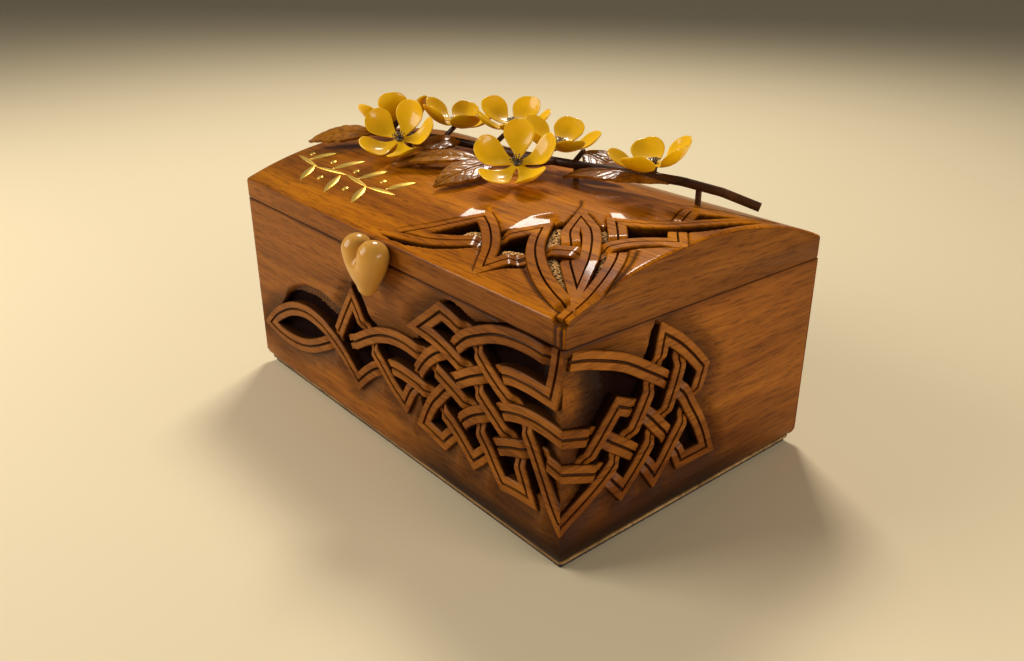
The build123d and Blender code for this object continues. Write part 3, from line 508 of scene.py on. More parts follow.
def inside(points, outline):
    """True for each point inside a closed outline."""
    line = np.array(outline, float)
    odd = np.zeros(len(points), bool)
    for a, b in zip(line, np.roll(line, -1, axis=0)):
        crosses = (a[1] > points[:, 1]) != (b[1] > points[:, 1])
        rise = b[1] - a[1] if b[1] != a[1] else TINY
        odd ^= crosses & (points[:, 0] < a[0] + (points[:, 1] - a[1]) / rise * (b[0] - a[0]))
    return odd


def well_depth(points, wells):
    """Depth of the hollows at each point."""
    depth = np.zeros(len(points))
    for outline, deep, slope in wells:
        edge = np.where(inside(points, outline), line_distance(points, outline, True), 0)
        depth = np.maximum(depth, deep * smooth_step(edge / slope))
    return depth


def raised(points, lift):
    """Points (u, v) moved up by lift."""
    return [(u, v + lift) for u, v in points]


# ---- Meshes ----
# Distance at which two points count as one, and slack in picking vertices by their place
TOUCH = 1e-4
NEAR = 1e-3
# Turn, in degrees, past which a carved piece's faces meet in a sharp edge
CARVED_EDGE = 35


def boundary(bm):
    """Edges on the open rim of a mesh."""
    return [edge for edge in bm.edges if edge.is_boundary]


def ring_edges(bm, points):
    """Edges of a closed ring through the points."""
    verts = [bm.verts.new(point) for point in points]
    return [bm.edges.new(pair) for pair in zip(verts, verts[1:] + verts[:1])]


def grow(bm, edges):
    """Extrudes the edges on the spot, and gives the new vertices and the new edges between them."""
    grown = bmesh.ops.extrude_edge_only(bm, edges=edges)["geom"]
    fresh = [one for one in grown if isinstance(one, bmesh.types.BMVert)]
    kept = set(fresh)
    return fresh, [one for one in grown if isinstance(one, bmesh.types.BMEdge) and kept.issuperset(one.verts)]


def sweep(bm, ring, moves):
    """Extrudes a ring by each move in turn and closes both ends."""
    first = ring
    for move in moves:
        fresh, ring = grow(bm, ring)
        bmesh.ops.transform(bm, matrix=move, verts=fresh)
    for end in (first, ring):
        bmesh.ops.contextual_create(bm, geom=end)


def everything(bm):
    """All that a mesh holds."""
    return list(bm.verts) + list(bm.edges) + list(bm.faces)


def cut(bm, point, normal):
    """Cuts away what lies beyond a plane and closes the cut."""
    done = bmesh.ops.bisect_plane(
        bm, geom=everything(bm), dist=TOUCH, plane_co=point, plane_no=normal, clear_outer=True
    )
    edges = [one for one in done["geom_cut"] if isinstance(one, bmesh.types.BMEdge) and one.is_boundary]
    bmesh.ops.holes_fill(bm, edges=edges, sides=0)


def merge(bm, other):
    """Adds the other mesh to bm and frees it."""
    mesh = bpy.data.meshes.new("joined")
    other.to_mesh(mesh)
    other.free()
    bm.from_mesh(mesh)
    bpy.data.meshes.remove(mesh)


def set_places(bm, place):
    """Moves every vertex of bm to place(x, y, z)."""
    for vert in bm.verts:
        vert.co = place(*vert.co)


def mark(bm, index, chosen):
    """Gives the chosen faces the material of that number."""
    for face in bm.faces:
        if chosen(face):
            face.material_index = index


def crease(bm, angle):
    """Smooth faces with sharp edges wherever they turn by more than the angle."""
    for face in bm.faces:
        face.smooth = True
    for edge in bm.edges:
        edge.smooth = edge.is_manifold and edge.calc_face_angle(0) < radians(angle)


def finish_object(name, bm, materials, body, replaced, angle):
    """Turns a finished mesh, drawn in millimetres, into a piece of the object."""
    bmesh.ops.scale(bm, vec=(MM, MM, MM), verts=bm.verts)
    bmesh.ops.recalc_face_normals(bm, faces=bm.faces)
    crease(bm, angle)
    mesh = bpy.data.meshes.new(name)
    bm.to_mesh(mesh)
    bm.free()
    obj = bpy.data.objects.new(name, mesh)
    bpy.context.scene.collection.objects.link(obj)
    for material in materials:
        mesh.materials.append(material)
    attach(obj, body)
    if replaced:
        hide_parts(*replaced)
    return obj


# ---- Bands ----
# Place of the corner in a groove's side, as shares of its half width and of its depth
GROOVE_CORNER = (0.75, 0.8)
# Height of the upper loop on a band's flank, in widths of its arris
FLANK_LOOP = 3
# Least cosine of half a turn, which keeps a very sharp mitre short
LEAST_MITRE = 0.16
# Length taken off a run's end where it doesn't turn: less than nothing, so its last section stays
NO_CUT = -1.0


def band_section(half, groove, sizes):
    """Points across a band, (across, height): two flat ribs with a groove between them."""
    arris, deep = sizes.arris, sizes.groove_depth
    right = [(0, -deep), (groove * GROOVE_CORNER[0], -deep * GROOVE_CORNER[1]), (groove, 0)]
    right += [(half - arris, 0), (half, -arris), (half, -FLANK_LOOP * arris), (half, -sizes.band_root)]
    return [(-across, height) for across, height in reversed(right[1:])] + right


def turn_between(way, onward):
    """Angle by which one direction has to turn to become the other."""
    return atan2(way[0] * onward[1] - way[1] * onward[0], float(way @ onward))


def mitre_cut(turn, half, sizes):
    """Length beside a turn that holds no section, because the mitre reaches over it."""
    return half * abs(np.tan(turn / 2)) + sizes.step / 3


def band_stations(runs, half, sizes, opens):
    """Where a band's sections stand: point, side vector and lift, mitred at its sharp turns."""
    lines = [even_line(run, sizes.step) for run in runs]
    total = sum(lengths_along(line)[-1] for line in lines)
    gone = 0.0
    stations = []
    last_way = None
    for number, line in enumerate(lines):
        ways = np.gradient(line, axis=0)
        ways /= np.linalg.norm(ways, axis=1)[:, None]
        along = lengths_along(line)
        start_cut = end_cut = NO_CUT
        if last_way is not None:
            turn = turn_between(last_way, ways[0])
            start_cut = mitre_cut(turn, half, sizes)
            bisector = np.array([-last_way[1] - ways[0][1], last_way[0] + ways[0][0]])
            bisector /= np.linalg.norm(bisector)
            stations.append((line[0], bisector / max(cos(turn / 2), LEAST_MITRE), gone))
        if number + 1 < len(lines):
            onward = lines[number + 1][1] - lines[number + 1][0]
            end_cut = mitre_cut(turn_between(ways[-1], onward), half, sizes)
        for point, way, here in zip(line, ways, along):
            is_free_end = (start_cut < 0 and here == 0) or (end_cut < 0 and here == along[-1])
            if is_free_end or start_cut < here < along[-1] - end_cut:
                stations.append((point, np.array([-way[1], way[0]]), gone + here))
        gone += along[-1]
        last_way = ways[-1]
    return [(point, side, band_lift(here, total, opens, sizes)) for point, side, here in stations]


def band_lift(here, total, opens, sizes):
    """Height of a band at a length along it: it sinks towards each end that passes under another band."""
    lift = 0.0
    for is_open, off in ((opens[0], here), (opens[1], total - here)):
        if not is_open:
            fade = (off - sizes.dip_end) / (sizes.dip_start - sizes.dip_end)
            lift = min(lift, -sizes.dip * (1 - float(smooth_step(fade))))
    return lift


def station_matrix(point, side, lift):
    """Moves a section drawn in x and z to its station."""
    ahead = Vector((side[1], -side[0], 0)).normalized()
    return Matrix(
        (
            (side[0], ahead.x, 0, point[0]),
            (side[1], ahead.y, 0, point[1]),
            (0, 0, 1, lift),
            (0, 0, 0, 1),
        )
    )


def add_band(bm, stations, section, hollow):
    """Extrudes a section through its stations and closes both ends."""
    ring = ring_edges(bm, [(across, 0, height) for across, height in section])
    verts = list({vert for edge in ring for vert in edge.verts})
    # Each point of the section darkens with its depth below the band's top: staining and painted shade in the
    # groove and down the flanks
    for vert in verts:
        vert[hollow] = min(max(-vert.co.z / STAIN_SHADE_DEPTH, 0.0), 1.0)
    places = [station_matrix(*station) for station in stations]
    bmesh.ops.transform(bm, matrix=places[0], verts=verts)
    sweep(bm, ring, [after @ before.inverted() for before, after in zip(places, places[1:])])


def bands_mesh(bands, opens, half, groove, sizes):
    """All the bands of a panel, flat: x and y along the panel, z outward."""
    bm = bmesh.new()
    hollow = bm.verts.layers.float.new("hollow")
    section = band_section(half, groove, sizes)
    for name, runs in bands.items():
        open_ends = ((name, 0) in opens, (name, 1) in opens)
        add_band(bm, band_stations(runs, half, sizes, open_ends), section, hollow)
    return bm


# ---- Carved walls ----
# Punched ground: dents along a millimetre, plane of the noise, and its swing to either side
DENTS = 1.1
DENT_PLANE = 3.0
DENT_SWING = 1.6
# How far round a rounded edge is followed, as a share of its radius
ROUND_SHARE = 0.98
# Share of a hollow's depth and of its staining and painted shade right at the carved corner
CORNER_DEPTH = 0.34
CORNER_STAIN_SHADE = 0.25
# Distance from the carved corner at which the hollows are whole, and at which the painted shade along the
# foot begins to fade
FRONT_CORNER_RUN = 14.0
FRONT_FOOT_RUN = 60.0
RIGHT_CORNER_RUN = 22.0
RIGHT_FOOT_RUN = 75.0
# The dish around a knot fades out towards the rim over this height
DISH_RIM_FADE = 6.0
# A hollow's staining and painted shade begin at this many times the dish's depth and are whole after the run
HOLLOW_STAIN_SHADE_FROM = 1.1
HOLLOW_STAIN_SHADE_RUN = 1.6
# How steeply the hollows' staining and painted shade, and the staining and painted shade round a knot, set in
HOLLOW_STAIN_SHADE_POWER = 2.5
SHADE_POWER = 1.5
# Painted shade of the line along the seam, and the least staining and painted shade of a wall's punched
# ground
SEAM_SHADE_TONE = 0.85
GROUND_TONE = 0.98
# Width by which a wall's surface runs past its corners before its mitres are cut
WALL_SURPLUS = 2.5
# Place of the punched ground's wood in the list of a wall or the lid, after the piece's own wood
GROUND_WOOD = 1


def stippled(points, depth, sizes):
    """Punched roughness of the hollows."""
    rough = np.array([noise.noise(Vector((u * DENTS, v * DENTS, DENT_PLANE))) for u, v in points])
    return depth + np.where(depth > STIPPLE_FROM, rough * sizes.stipple * DENT_SWING, 0.0)


def corner_fade(along, shallow, start):
    """Share of a hollow's depth: shallow at the carved corner, whole from start inward."""
    return shallow + (1 - shallow) * smooth_step(along / start)


def rounding(along, radius):
    """Drop of a rounded edge at a distance from it."""
    over = np.clip(radius - along, 0, radius * ROUND_SHARE)
    return radius - np.sqrt(radius**2 - over**2)


def wall_relief(points, wells, bands, sizes, knot_corner, plain_corner, corner_run, foot_run):
    """Depth of a carved wall and its staining and painted shade at each (u, v), from its distances to both
    corners.
    """
    depth = well_depth(points, wells) * corner_fade(knot_corner, CORNER_DEPTH, corner_run)
    beside = band_distance(points, bands) - sizes.band_half
    under_rim = RIM_Z - points[:, 1]
    dish = sizes.dish_depth * (1 - smooth_step(beside / sizes.dish_reach))
    dish *= smooth_step(under_rim / DISH_RIM_FADE)
    depth = np.maximum(stippled(points, depth, sizes), dish)
    # Staining and painted shade in the hollows, darker with depth, lighter near the carved corner
    stain_and_shade = smooth_step((depth - sizes.dish_depth * HOLLOW_STAIN_SHADE_FROM) / HOLLOW_STAIN_SHADE_RUN)
    stain_and_shade *= corner_fade(knot_corner, CORNER_STAIN_SHADE, STAIN_SHADE_RUN * corner_run)
    # Staining and painted shade in the dish round the knot, fading with distance from the bands
    around = sizes.shade * (1 - smooth_step(beside / sizes.shade_reach)) ** SHADE_POWER
    # Painted shade along the wall's foot, fading away from the carved corner
    low = sizes.foot_shade * (1 - smooth_step((points[:, 1] - FOOT_SHADE_LOW) / FOOT_SHADE_RISE))
    low *= 1 - smooth_step((knot_corner - foot_run) / foot_run)
    # All the darkening together: staining and painted shade
    stain_and_shade = 1 - (1 - stain_and_shade) ** HOLLOW_STAIN_SHADE_POWER * (1 - around) * (1 - low)
    # Painted shade along the seam under the rim
    stain_and_shade = np.where(under_rim < SEAM_SHADE, np.maximum(stain_and_shade, SEAM_SHADE_TONE), stain_and_shade)
    foot = np.clip((FOOT_Z + TUCK_HEIGHT - points[:, 1]) / TUCK_HEIGHT, 0, 1)
    depth = np.maximum(depth, TUCK_IN * (1 - np.sqrt(1 - foot**2)))
    depth = np.maximum(depth, SEAM_CHAMFER - under_rim)
    depth = np.maximum(depth, rounding(plain_corner, CORNER_R))
    depth = np.maximum(depth, rounding(knot_corner, sizes.knot_corner_r))
    return depth, stain_and_shade


def clean_rim(bm, edges, hollow, place):
    """Grows faces of the first material, free of staining and painted shade, from the edges to place(vert),
    and gives the new edges.
    """
    fresh, rim = grow(bm, edges)
    for vert in fresh:
        vert.co = place(vert)
        vert[hollow] = 0.0
    for face in {face for vert in fresh for face in vert.link_faces}:
        face.material_index = 0
    return rim


def carved_wall(half_run, knot_side, wells, bands, opens, corner_run, foot_run, place):
    """A wall with its knot, its carved corner on the side knot_side, before its mitres are cut."""
    sizes = carving()
    wells = [(raised(outline, LAYOUT_Z), deep, slope) for outline, deep, slope in wells]
    bands = {name: [raised(run, LAYOUT_Z) for run in runs] for name, runs in bands.items()}
    half_span = half_run + WALL_SURPLUS
    height = RIM_Z - FOOT_Z
    bm = bmesh.new()
    hollow = bm.verts.layers.float.new("hollow")
    spread = Matrix.Translation((0, (RIM_Z + FOOT_Z) / 2, 0)) @ Matrix.Diagonal((half_span, height / 2, 1, 1))
    bmesh.ops.create_grid(
        bm, x_segments=int(round(2 * half_span / sizes.cell)), y_segments=int(round(height / sizes.cell)),
        size=1, matrix=spread,
    )
    points = np.array([(vert.co.x, vert.co.y) for vert in bm.verts])
    knot_corner = np.maximum(half_run - knot_side * points[:, 0], 0)
    plain_corner = np.maximum(half_run + knot_side * points[:, 0], 0)
    depth, stain_and_shade = wall_relief(points, wells, bands, sizes, knot_corner, plain_corner, corner_run, foot_run)
    for vert, drop, dark in zip(bm.verts, depth, stain_and_shade):
        vert.co.z = -drop
        vert[hollow] = dark
    mark(
        bm, GROUND_WOOD,
        lambda face: all(vert.co.z < -GROUND_DEPTH and vert[hollow] > GROUND_TONE for vert in face.verts),
    )
    rim = clean_rim(bm, boundary(bm), hollow, lambda vert: (vert.co.x, vert.co.y, vert.co.z - RIM_STEP))
    back = clean_rim(bm, rim, hollow, lambda vert: (vert.co.x, vert.co.y, -WALL))
    bmesh.ops.contextual_create(bm, geom=back)
    knot = bands_mesh(bands, opens, sizes.band_half, sizes.groove_half, sizes)
    for vert in knot.verts:
        vert.co.z -= rounding(max(half_run - knot_side * vert.co.x, 0.0), sizes.knot_corner_r)
    cut(knot, (0, RIM_Z - BAND_INSET, 0), (0, 1, 0))
    merge(bm, knot)
    set_places(bm, place)
    return bm


class KEEPSAKE_OT_walls(bpy.types.Operator):
    """Carves the front and the right-hand wall, whose knot meets at their corner."""

    bl_idname = "keepsake.walls"
    bl_label = "Carved walls"

    def execute(self, context):
        ground = ground_wood()
        front = carved_wall(
            HALF_L, 1, FRONT_WELLS, FRONT_BANDS, FRONT_OPEN, FRONT_CORNER_RUN, FRONT_FOOT_RUN,
            lambda u, v, h: (u, -HALF_D - h, v),
        )
        cut(front, (HALF_L, -HALF_D, 0), (1, 1, 0))
        cut(front, (-HALF_L, -HALF_D, 0), (-1, 1, 0))
        cut(front, (0, 0, RIM_Z), (0, 0, 1))
        woods = [case_wood("front_wood", ALONG_X), ground]
        finish_object("front_wall_carved", front, woods, "box", ["front_wall"], CARVED_EDGE)
        right = carved_wall(
            HALF_D, -1, RIGHT_WELLS, RIGHT_BANDS, RIGHT_OPEN, RIGHT_CORNER_RUN, RIGHT_FOOT_RUN,
            lambda u, v, h: (HALF_L + h, u, v),
        )
        cut(right, (HALF_L, -HALF_D, 0), (-1, -1, 0))
        cut(right, (HALF_L, HALF_D, 0), (-1, 1, 0))
        cut(right, (0, 0, RIM_Z), (0, 0, 1))
        woods = [case_wood("right_wood", ALONG_Y), ground]
        finish_object("right_wall_carved", right, woods, "box", ["right_wall"], CARVED_EDGE)
        return {"FINISHED"}


# ---- Lid ----
# Rows round the eaves and columns round an end edge
EAVES_ROWS = 5
EDGE_COLUMNS = 6
# Softness of the line where a flat scoop meets the lid's surface
SCOOP_SOFT = 0.03
# A hollow's staining and painted shade begin at this depth and are whole after the run
WELL_STAIN_SHADE_FROM = 0.3
WELL_STAIN_SHADE_RUN = 1.0
# How soon a pale strip is whole inside its reach, and the share of the staining and painted shade that it
# clears
PALE_CORE = 1.8
PALE_CLEAR = 0.95
# The surface is at its bed's depth this far inside a band's edge, and the line beside the band runs on
# this far past its width. Painted shade of an engraved line
BED_INSET = 1.0
OUTLINE_FADE = 0.2
LINE_SHADE = 0.95
# Cuts in the lower edge of each of the lid's ends
RIM_CUTS = 23
# Past this share of the way to an inner face, a rim's vertex goes onto the face
CORNER_SNAP = 0.98
# A band's part above this depth follows the rounded end, and its roots stop this far above their full depth
BAND_TOP = 2.0
ROOT_TRIM = 0.5
# An upright face's least normal, its reach from the outside, and the least staining and painted shade that
# dulls the lacquer
UPRIGHT = 0.8
SKIN = 0.5
DULL_FROM = 0.12
# Tone of the lid's ends against the case's wood
END_TONE = 0.72
# Places of the lid's other woods in its list
END_WOOD = 2
SKIRT_WOOD = 3
DULL_WOOD = 4


class LidShape:
    """The lid's outside as a run of lengths from its crown: arch, rounded eaves, upright skirt."""

    def __init__(self, radius):
        self.radius = radius
        centre_y = HALF_D - radius
        self.turn = np.arcsin(centre_y / (ARCH_R - radius))
        self.centre = (centre_y, ARCH_Z + (ARCH_R - radius) * cos(self.turn))
        self.arch_end = ARCH_R * self.turn
        self.eaves_end = self.arch_end + radius * (pi / 2 - self.turn)
        self.foot = self.eaves_end + self.centre[1] - LID_RIM_Z

    def place(self, u, v, h):
        """Where the point u along, v round and h out from the lid's surface is."""
        way, run = (1, v) if v >= 0 else (-1, -v)
        if run <= self.arch_end:
            angle = run / ARCH_R
            return (u, way * (ARCH_R + h) * sin(angle), ARCH_Z + (ARCH_R + h) * cos(angle))
        if run <= self.eaves_end:
            angle = self.turn + (run - self.arch_end) / self.radius
            reach = self.radius + h
            return (u, way * (self.centre[0] + reach * sin(angle)), self.centre[1] + reach * cos(angle))
        return (u, way * (HALF_D + h), self.centre[1] - (run - self.eaves_end))

    def rows(self, cell):
        """Lengths at which the surface has its rows, from the front foot to the back one."""
        arch = np.linspace(0, self.arch_end, int(round(self.arch_end / cell)) + 1)
        eaves = np.linspace(self.arch_end, self.eaves_end, EAVES_ROWS)[1:]
        drop = self.foot - self.eaves_end
        skirt = np.linspace(self.eaves_end, self.foot, int(round(drop / cell)) + 1)[1:]
        half = np.concatenate([arch, eaves, skirt])
        return np.concatenate([-half[:0:-1], half])


def edge_columns(half, radius, cell):
    """Positions along the lid, closer together round its end edges."""
    plain = np.linspace(0, half - radius, int(round((half - radius) / cell)) + 1)
    turned = half - radius + radius * np.sin(np.linspace(0, pi / 2, EDGE_COLUMNS))[1:]
    side = np.concatenate([plain, turned])
    return np.concatenate([-side[:0:-1], side])


def scoop_depth(points, scoop):
    """Depth of one flat scoop at each point."""
    start, end, deep, slope, reach = scoop
    start, run = np.array(start), np.array(end) - np.array(start)
    long = np.hypot(*run)
    along = (points - start) @ run / long
    side = (run[0] * (points[:, 1] - start[1]) - run[1] * (points[:, 0] - start[0])) / long
    level = deep + (points - start - run / 2) @ np.array(slope)
    depth = (level + np.sqrt(level**2 + SCOOP_SOFT)) / 2
    for inward in (along + SCOOP_END, long + SCOOP_END / 2 - along, reach - side, side + SCOOP_END):
        depth *= smooth_step(inward / SCOOP_END)
    return depth


def lid_relief(points, shape, sizes):
    """Depth of the lid's carving and its staining and painted shade at each (u, v), and whether it is a
    hollow's ground.
    """
    wells = well_depth(points, LID_WELLS)
    pale = np.zeros(len(points))
    for line, reach in LID_PALE:
        pale = np.maximum(pale, smooth_step(PALE_CORE * (1 - line_distance(points, line) / reach)))
    # Staining and painted shade in the hollows, darker with depth, cleared on the pale strips
    stain_and_shade = smooth_step((wells - WELL_STAIN_SHADE_FROM) / WELL_STAIN_SHADE_RUN) * (1 - PALE_CLEAR * pale)
    depth = stippled(points, wells * (1 - PALE_RISE * pale), sizes)
    ground = depth > LID_GROUND_DEPTH
    beside = band_distance(points, LID_BANDS) - sizes.lid_band_half
    bed = BED_DEPTH * (1 - smooth_step((beside + BED_INSET) / (BED_INSET + sizes.outline)))
    depth = np.maximum(depth, bed)
    # Painted shadow along each band's edge
    stain_and_shade = np.maximum(stain_and_shade, OUTLINE_SHADOW * (1 - smooth_step(beside / (sizes.outline + OUTLINE_FADE))))
    for scoop in LID_SCOOPS:
        depth = np.maximum(depth, scoop_depth(points, scoop))
    for line in LID_LINES:
        share = 1 - smooth_step(line_distance(points, even_line(line, COARSE_STEP)) / sizes.line_half)
        depth = np.maximum(depth, sizes.line_depth * share)
        # Painted shade in an engraved line
        stain_and_shade = np.maximum(stain_and_shade, LINE_SHADE * share)
    above = shape.foot - np.abs(points[:, 1])
    depth = np.maximum(depth, SEAM_CHAMFER - above)
    # Painted shade along the seam above the lid's foot
    stain_and_shade = np.where(above < SEAM_SHADE, SEAM_SHADE_TONE, stain_and_shade)
    return depth + rounding(HALF_L - np.abs(points[:, 0]), sizes.lid_edge_r), stain_and_shade, ground


def lid_outside(shape, sizes):
    """The lid's carved outside: a sheet laid over the arch, with its staining, its painted shade and its
    punched ground.
    """
    us = edge_columns(HALF_L, sizes.lid_edge_r, sizes.cell)
    vs = shape.rows(sizes.cell)
    bm = bmesh.new()
    hollow = bm.verts.layers.float.new("hollow")
    bmesh.ops.create_grid(bm, x_segments=len(us) - 1, y_segments=len(vs) - 1, size=1)
    for vert in bm.verts:
        column = int(round((vert.co.x + 1) / 2 * (len(us) - 1)))
        row = int(round((vert.co.y + 1) / 2 * (len(vs) - 1)))
        vert.co = (us[column], vs[row], 0)
    points = np.array([(vert.co.x, vert.co.y) for vert in bm.verts])
    depth, stain_and_shade, ground = lid_relief(points, shape, sizes)
    bm.verts.index_update()
    for vert, drop, dark in zip(bm.verts, depth, stain_and_shade):
        vert.co.z = -drop
        vert[hollow] = dark
    mark(bm, GROUND_WOOD, lambda face: all(ground[vert.index] for vert in face.verts))
    set_places(bm, shape.place)
    for vert in bm.verts:
        if vert.co.z < LID_RIM_Z + NEAR:
            vert.co.z = LID_RIM_Z
    return bm, hollow


def inner_height(y):
    """Height of the vault's inside at the depth y."""
    return ARCH_Z + sqrt((ARCH_R - VAULT) ** 2 - y**2)


def inner_place(place, outer, inner):
    """Where a rim's vertex goes on one axis, from the outer outline to the inner one."""
    place = min(max(place * inner / outer, -inner), inner)
    if abs(place) > inner * CORNER_SNAP:
        place = inner if place > 0 else -inner
    return place


def close_lid(bm, hollow):
    """Ends, rim and inside of the lid, grown from the open edge of its outside."""
    for way in (-1, 1):
        end = [e for e in boundary(bm) if all(v.co.x * way > HALF_L - TOUCH for v in e.verts)]
        low = [v for v in {v for e in end for v in e.verts} if v.co.z < LID_RIM_Z + TOUCH]
        base = bm.edges.new(sorted(low, key=lambda v: v.co.y))
        bmesh.ops.contextual_create(bm, geom=end + [base])
        bmesh.ops.subdivide_edges(bm, edges=[base], cuts=RIM_CUTS)
    inset = 1 - RIM_STEP / HALF_L
    rim = clean_rim(bm, boundary(bm), hollow, lambda vert: (vert.co.x * inset, vert.co.y * inset, LID_RIM_Z))
    fresh, rim = grow(bm, rim)
    for vert in fresh:
        vert.co.x = inner_place(vert.co.x, HALF_L, INNER_L)
        vert.co.y = inner_place(vert.co.y, HALF_D, INNER_D)
    top, rim = grow(bm, rim)
    for vert in top:
        vert.co.z = inner_height(vert.co.y)
    bmesh.ops.dissolve_verts(bm, verts=[v for v in top if abs(v.co.x) < INNER_L - NEAR])
    arcs = []
    for way in (-1, 1):
        arcs += [
            e for e in boundary(bm)
            if all(v.co.x * way > INNER_L - NEAR and v.co.z > LID_RIM_Z + 1 for v in e.verts)
        ]
    bmesh.ops.bridge_loops(bm, edges=arcs)


def lid_knot(shape, sizes):
    """The lid's bands, bent over the arch and cut behind its end and above its rim."""
    knot = bands_mesh(LID_BANDS, LID_OPEN, sizes.lid_band_half, sizes.lid_groove_half, sizes)
    for vert in knot.verts:
        u, v, h = vert.co
        drop = rounding(max(HALF_L - abs(u), 0.0), sizes.lid_edge_r) if h > -BAND_TOP else 0
        vert.co = shape.place(u, v, max(h, ROOT_TRIM - sizes.band_root) - drop)
    cut(knot, (HALF_L - BAND_INSET, 0, 0), (1, 0, 0))
    cut(knot, (0, 0, LID_RIM_Z + BAND_INSET), (0, 0, -1))
    return knot


def is_outer(face, axis, half):
    """Whether a face stands upright on the lid's outside, at either end of an axis."""
    return abs(face.normal[axis]) > UPRIGHT and abs(face.calc_center_median()[axis]) > half - SKIN


class KEEPSAKE_OT_lid(bpy.types.Operator):
    """Builds the arched lid with its carved corner."""

    bl_idname = "keepsake.lid"
    bl_label = "Lid"

    def execute(self, context):
        sizes = carving()
        shape = LidShape(sizes.lid_edge_r)
        bm, hollow = lid_outside(shape, sizes)
        close_lid(bm, hollow)
        for vert in bm.verts:
            if abs(vert.co.x) > HALF_L - END_SKIN:
                vert[hollow] = 0.0
        merge(bm, lid_knot(shape, sizes))
        bm.normal_update()
        mark(bm, END_WOOD, lambda face: is_outer(face, 0, HALF_L))
        mark(bm, SKIRT_WOOD, lambda face: is_outer(face, 1, HALF_D))
        mark(
            bm, DULL_WOOD,
            lambda face: not face.material_index and any(vert[hollow] > DULL_FROM for vert in face.verts),
        )
        woods = [
            lid_wood(), ground_wood(), case_wood("lid_end_wood", ALONG_Y, tone=END_TONE),
            case_wood("lid_skirt_wood", ALONG_X), dulled_wood(),
        ]
        finish_object("lid_carved", bm, woods, "lid", ["lid_shell"], angle=32)
        return {"FINISHED"}


# ---- Base pad and linings ----
# Cell and rounding of the linings and of the base pad
LINING_CELL = 9.0
LINING_ROUND = 0.6
PAD_CELL = 20.0
PAD_ROUND = 0.7
# Share by which a lining thins at the middle of an edge, and the most at a corner
LINING_SLACK = 0.35
LINING_MOST_SLACK = 0.6
# The vault's lining: thickness, play, how far its foot is drawn in and lifted, and parts round and along
VAULT_LINING = 1.5
VAULT_PLAY = 0.05
VAULT_FOOT_IN = 1.2
VAULT_FOOT_LIFT = 0.3
VAULT_PARTS = 40
VAULT_COLUMNS = 20


def node_box(node):
    """Lowest and highest corner of a frame node, in millimetres."""
    return (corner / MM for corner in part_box(node))


def soft_block(low, high, cell, radius):
    """A block in millimetres with rounded edges, cut into cells so that it can swell."""
    bm = bmesh.new()
    place = Matrix.Translation((high + low) / 2) @ Matrix.Diagonal((*(high - low), 1))
    bmesh.ops.create_cube(bm, size=1, matrix=place)
    bmesh.ops.bevel(
        bm, geom=list(bm.edges), offset=radius, offset_type="OFFSET", segments=3, profile=0.5,
        affect="EDGES", clamp_overlap=True, material=-1,
    )
    for axis in range(3):
        cuts = int((high[axis] - low[axis]) / cell)
        normal = Vector((0, 0, 0))
        normal[axis] = 1
        for k in range(1, cuts):
            point = normal * (low[axis] + (high[axis] - low[axis]) * k / cuts)
            bmesh.ops.bisect_plane(bm, geom=everything(bm), dist=TOUCH, plane_co=point, plane_no=normal)
    return bm


class KEEPSAKE_OT_linings(bpy.types.Operator):
    """Makes the velvet linings, softly filled over their boards, and the felt base pad."""

    bl_idname = "keepsake.linings"
    bl_label = "Linings and base pad"

    def execute(self, context):
        velvet = fabric("velvet", colours().velvet, rough=0.9, sheen=1.0)
        for node in ("lining_floor", "lining_front", "lining_back", "lining_left", "lining_right"):
            low, high = node_box(node)
            bm = soft_block(low, high, LINING_CELL, LINING_ROUND)
            size = high - low
            thin = min(range(3), key=lambda axis: size[axis])
            middle = (low + high) / 2
            for vert in bm.verts:
                share = [(vert.co[axis] - middle[axis]) / size[axis] * 2 for axis in range(3) if axis != thin]
                slack = LINING_SLACK * (share[0] ** 4 + share[1] ** 4)
                vert.co[thin] += (middle[thin] - vert.co[thin]) * min(slack, LINING_MOST_SLACK)
            piece = finish_object(node + "_velvet", bm, [velvet], "box", [node], angle=60)
        bm = soft_block(*node_box("base_pad"), PAD_CELL, PAD_ROUND)
        felt = fabric("felt", colours().felt, rough=0.95, sheen=0.2)
        piece = finish_object("base_pad_felt", bm, [felt], "box", ["base_pad"], angle=60)
        piece = finish_object(
            "lid_lining_velvet", self.vault_lining(), [velvet], "lid", ["lid_lining"],
            angle=60,
        )
        return {"FINISHED"}

    def vault_lining(self):
        """The lining under the vault, its foot drawn in a little."""
        low, high = node_box("lid_lining")
        outer = ARCH_R - VAULT - VAULT_PLAY
        half = high.y - VAULT_PLAY
        foot = low.z + VAULT_FOOT_LIFT
        lines = []
        for radius, reach in ((outer, half), (outer - VAULT_LINING, half - VAULT_FOOT_IN)):
            ys = [reach * (2 * k / VAULT_PARTS - 1) for k in range(VAULT_PARTS + 1)]
            arc = [(y, ARCH_Z + sqrt(radius**2 - y**2)) for y in ys]
            lines.append([(-reach, foot)] + arc + [(reach, foot)])
        bm = bmesh.new()
        ring = ring_edges(bm, [(low.x, y, z) for y, z in lines[0] + lines[1][::-1]])
        move = Matrix.Translation(((high.x - low.x) / VAULT_COLUMNS, 0, 0))
        sweep(bm, ring, [move] * VAULT_COLUMNS)
        return bm


# ---- Heart ----
# Height of the heart's middle, as a share of a lobe's reach
HEART_MIDDLE = 0.72
# Least width over which the lobes melt together
HEART_LEAST_MELT = 0.7
# The pad behind the heart stands this many gaps out from the wall
HEART_PAD_OUT = 1.6
# Halvings in the search for the heart's skin
HEART_SEARCH = 24


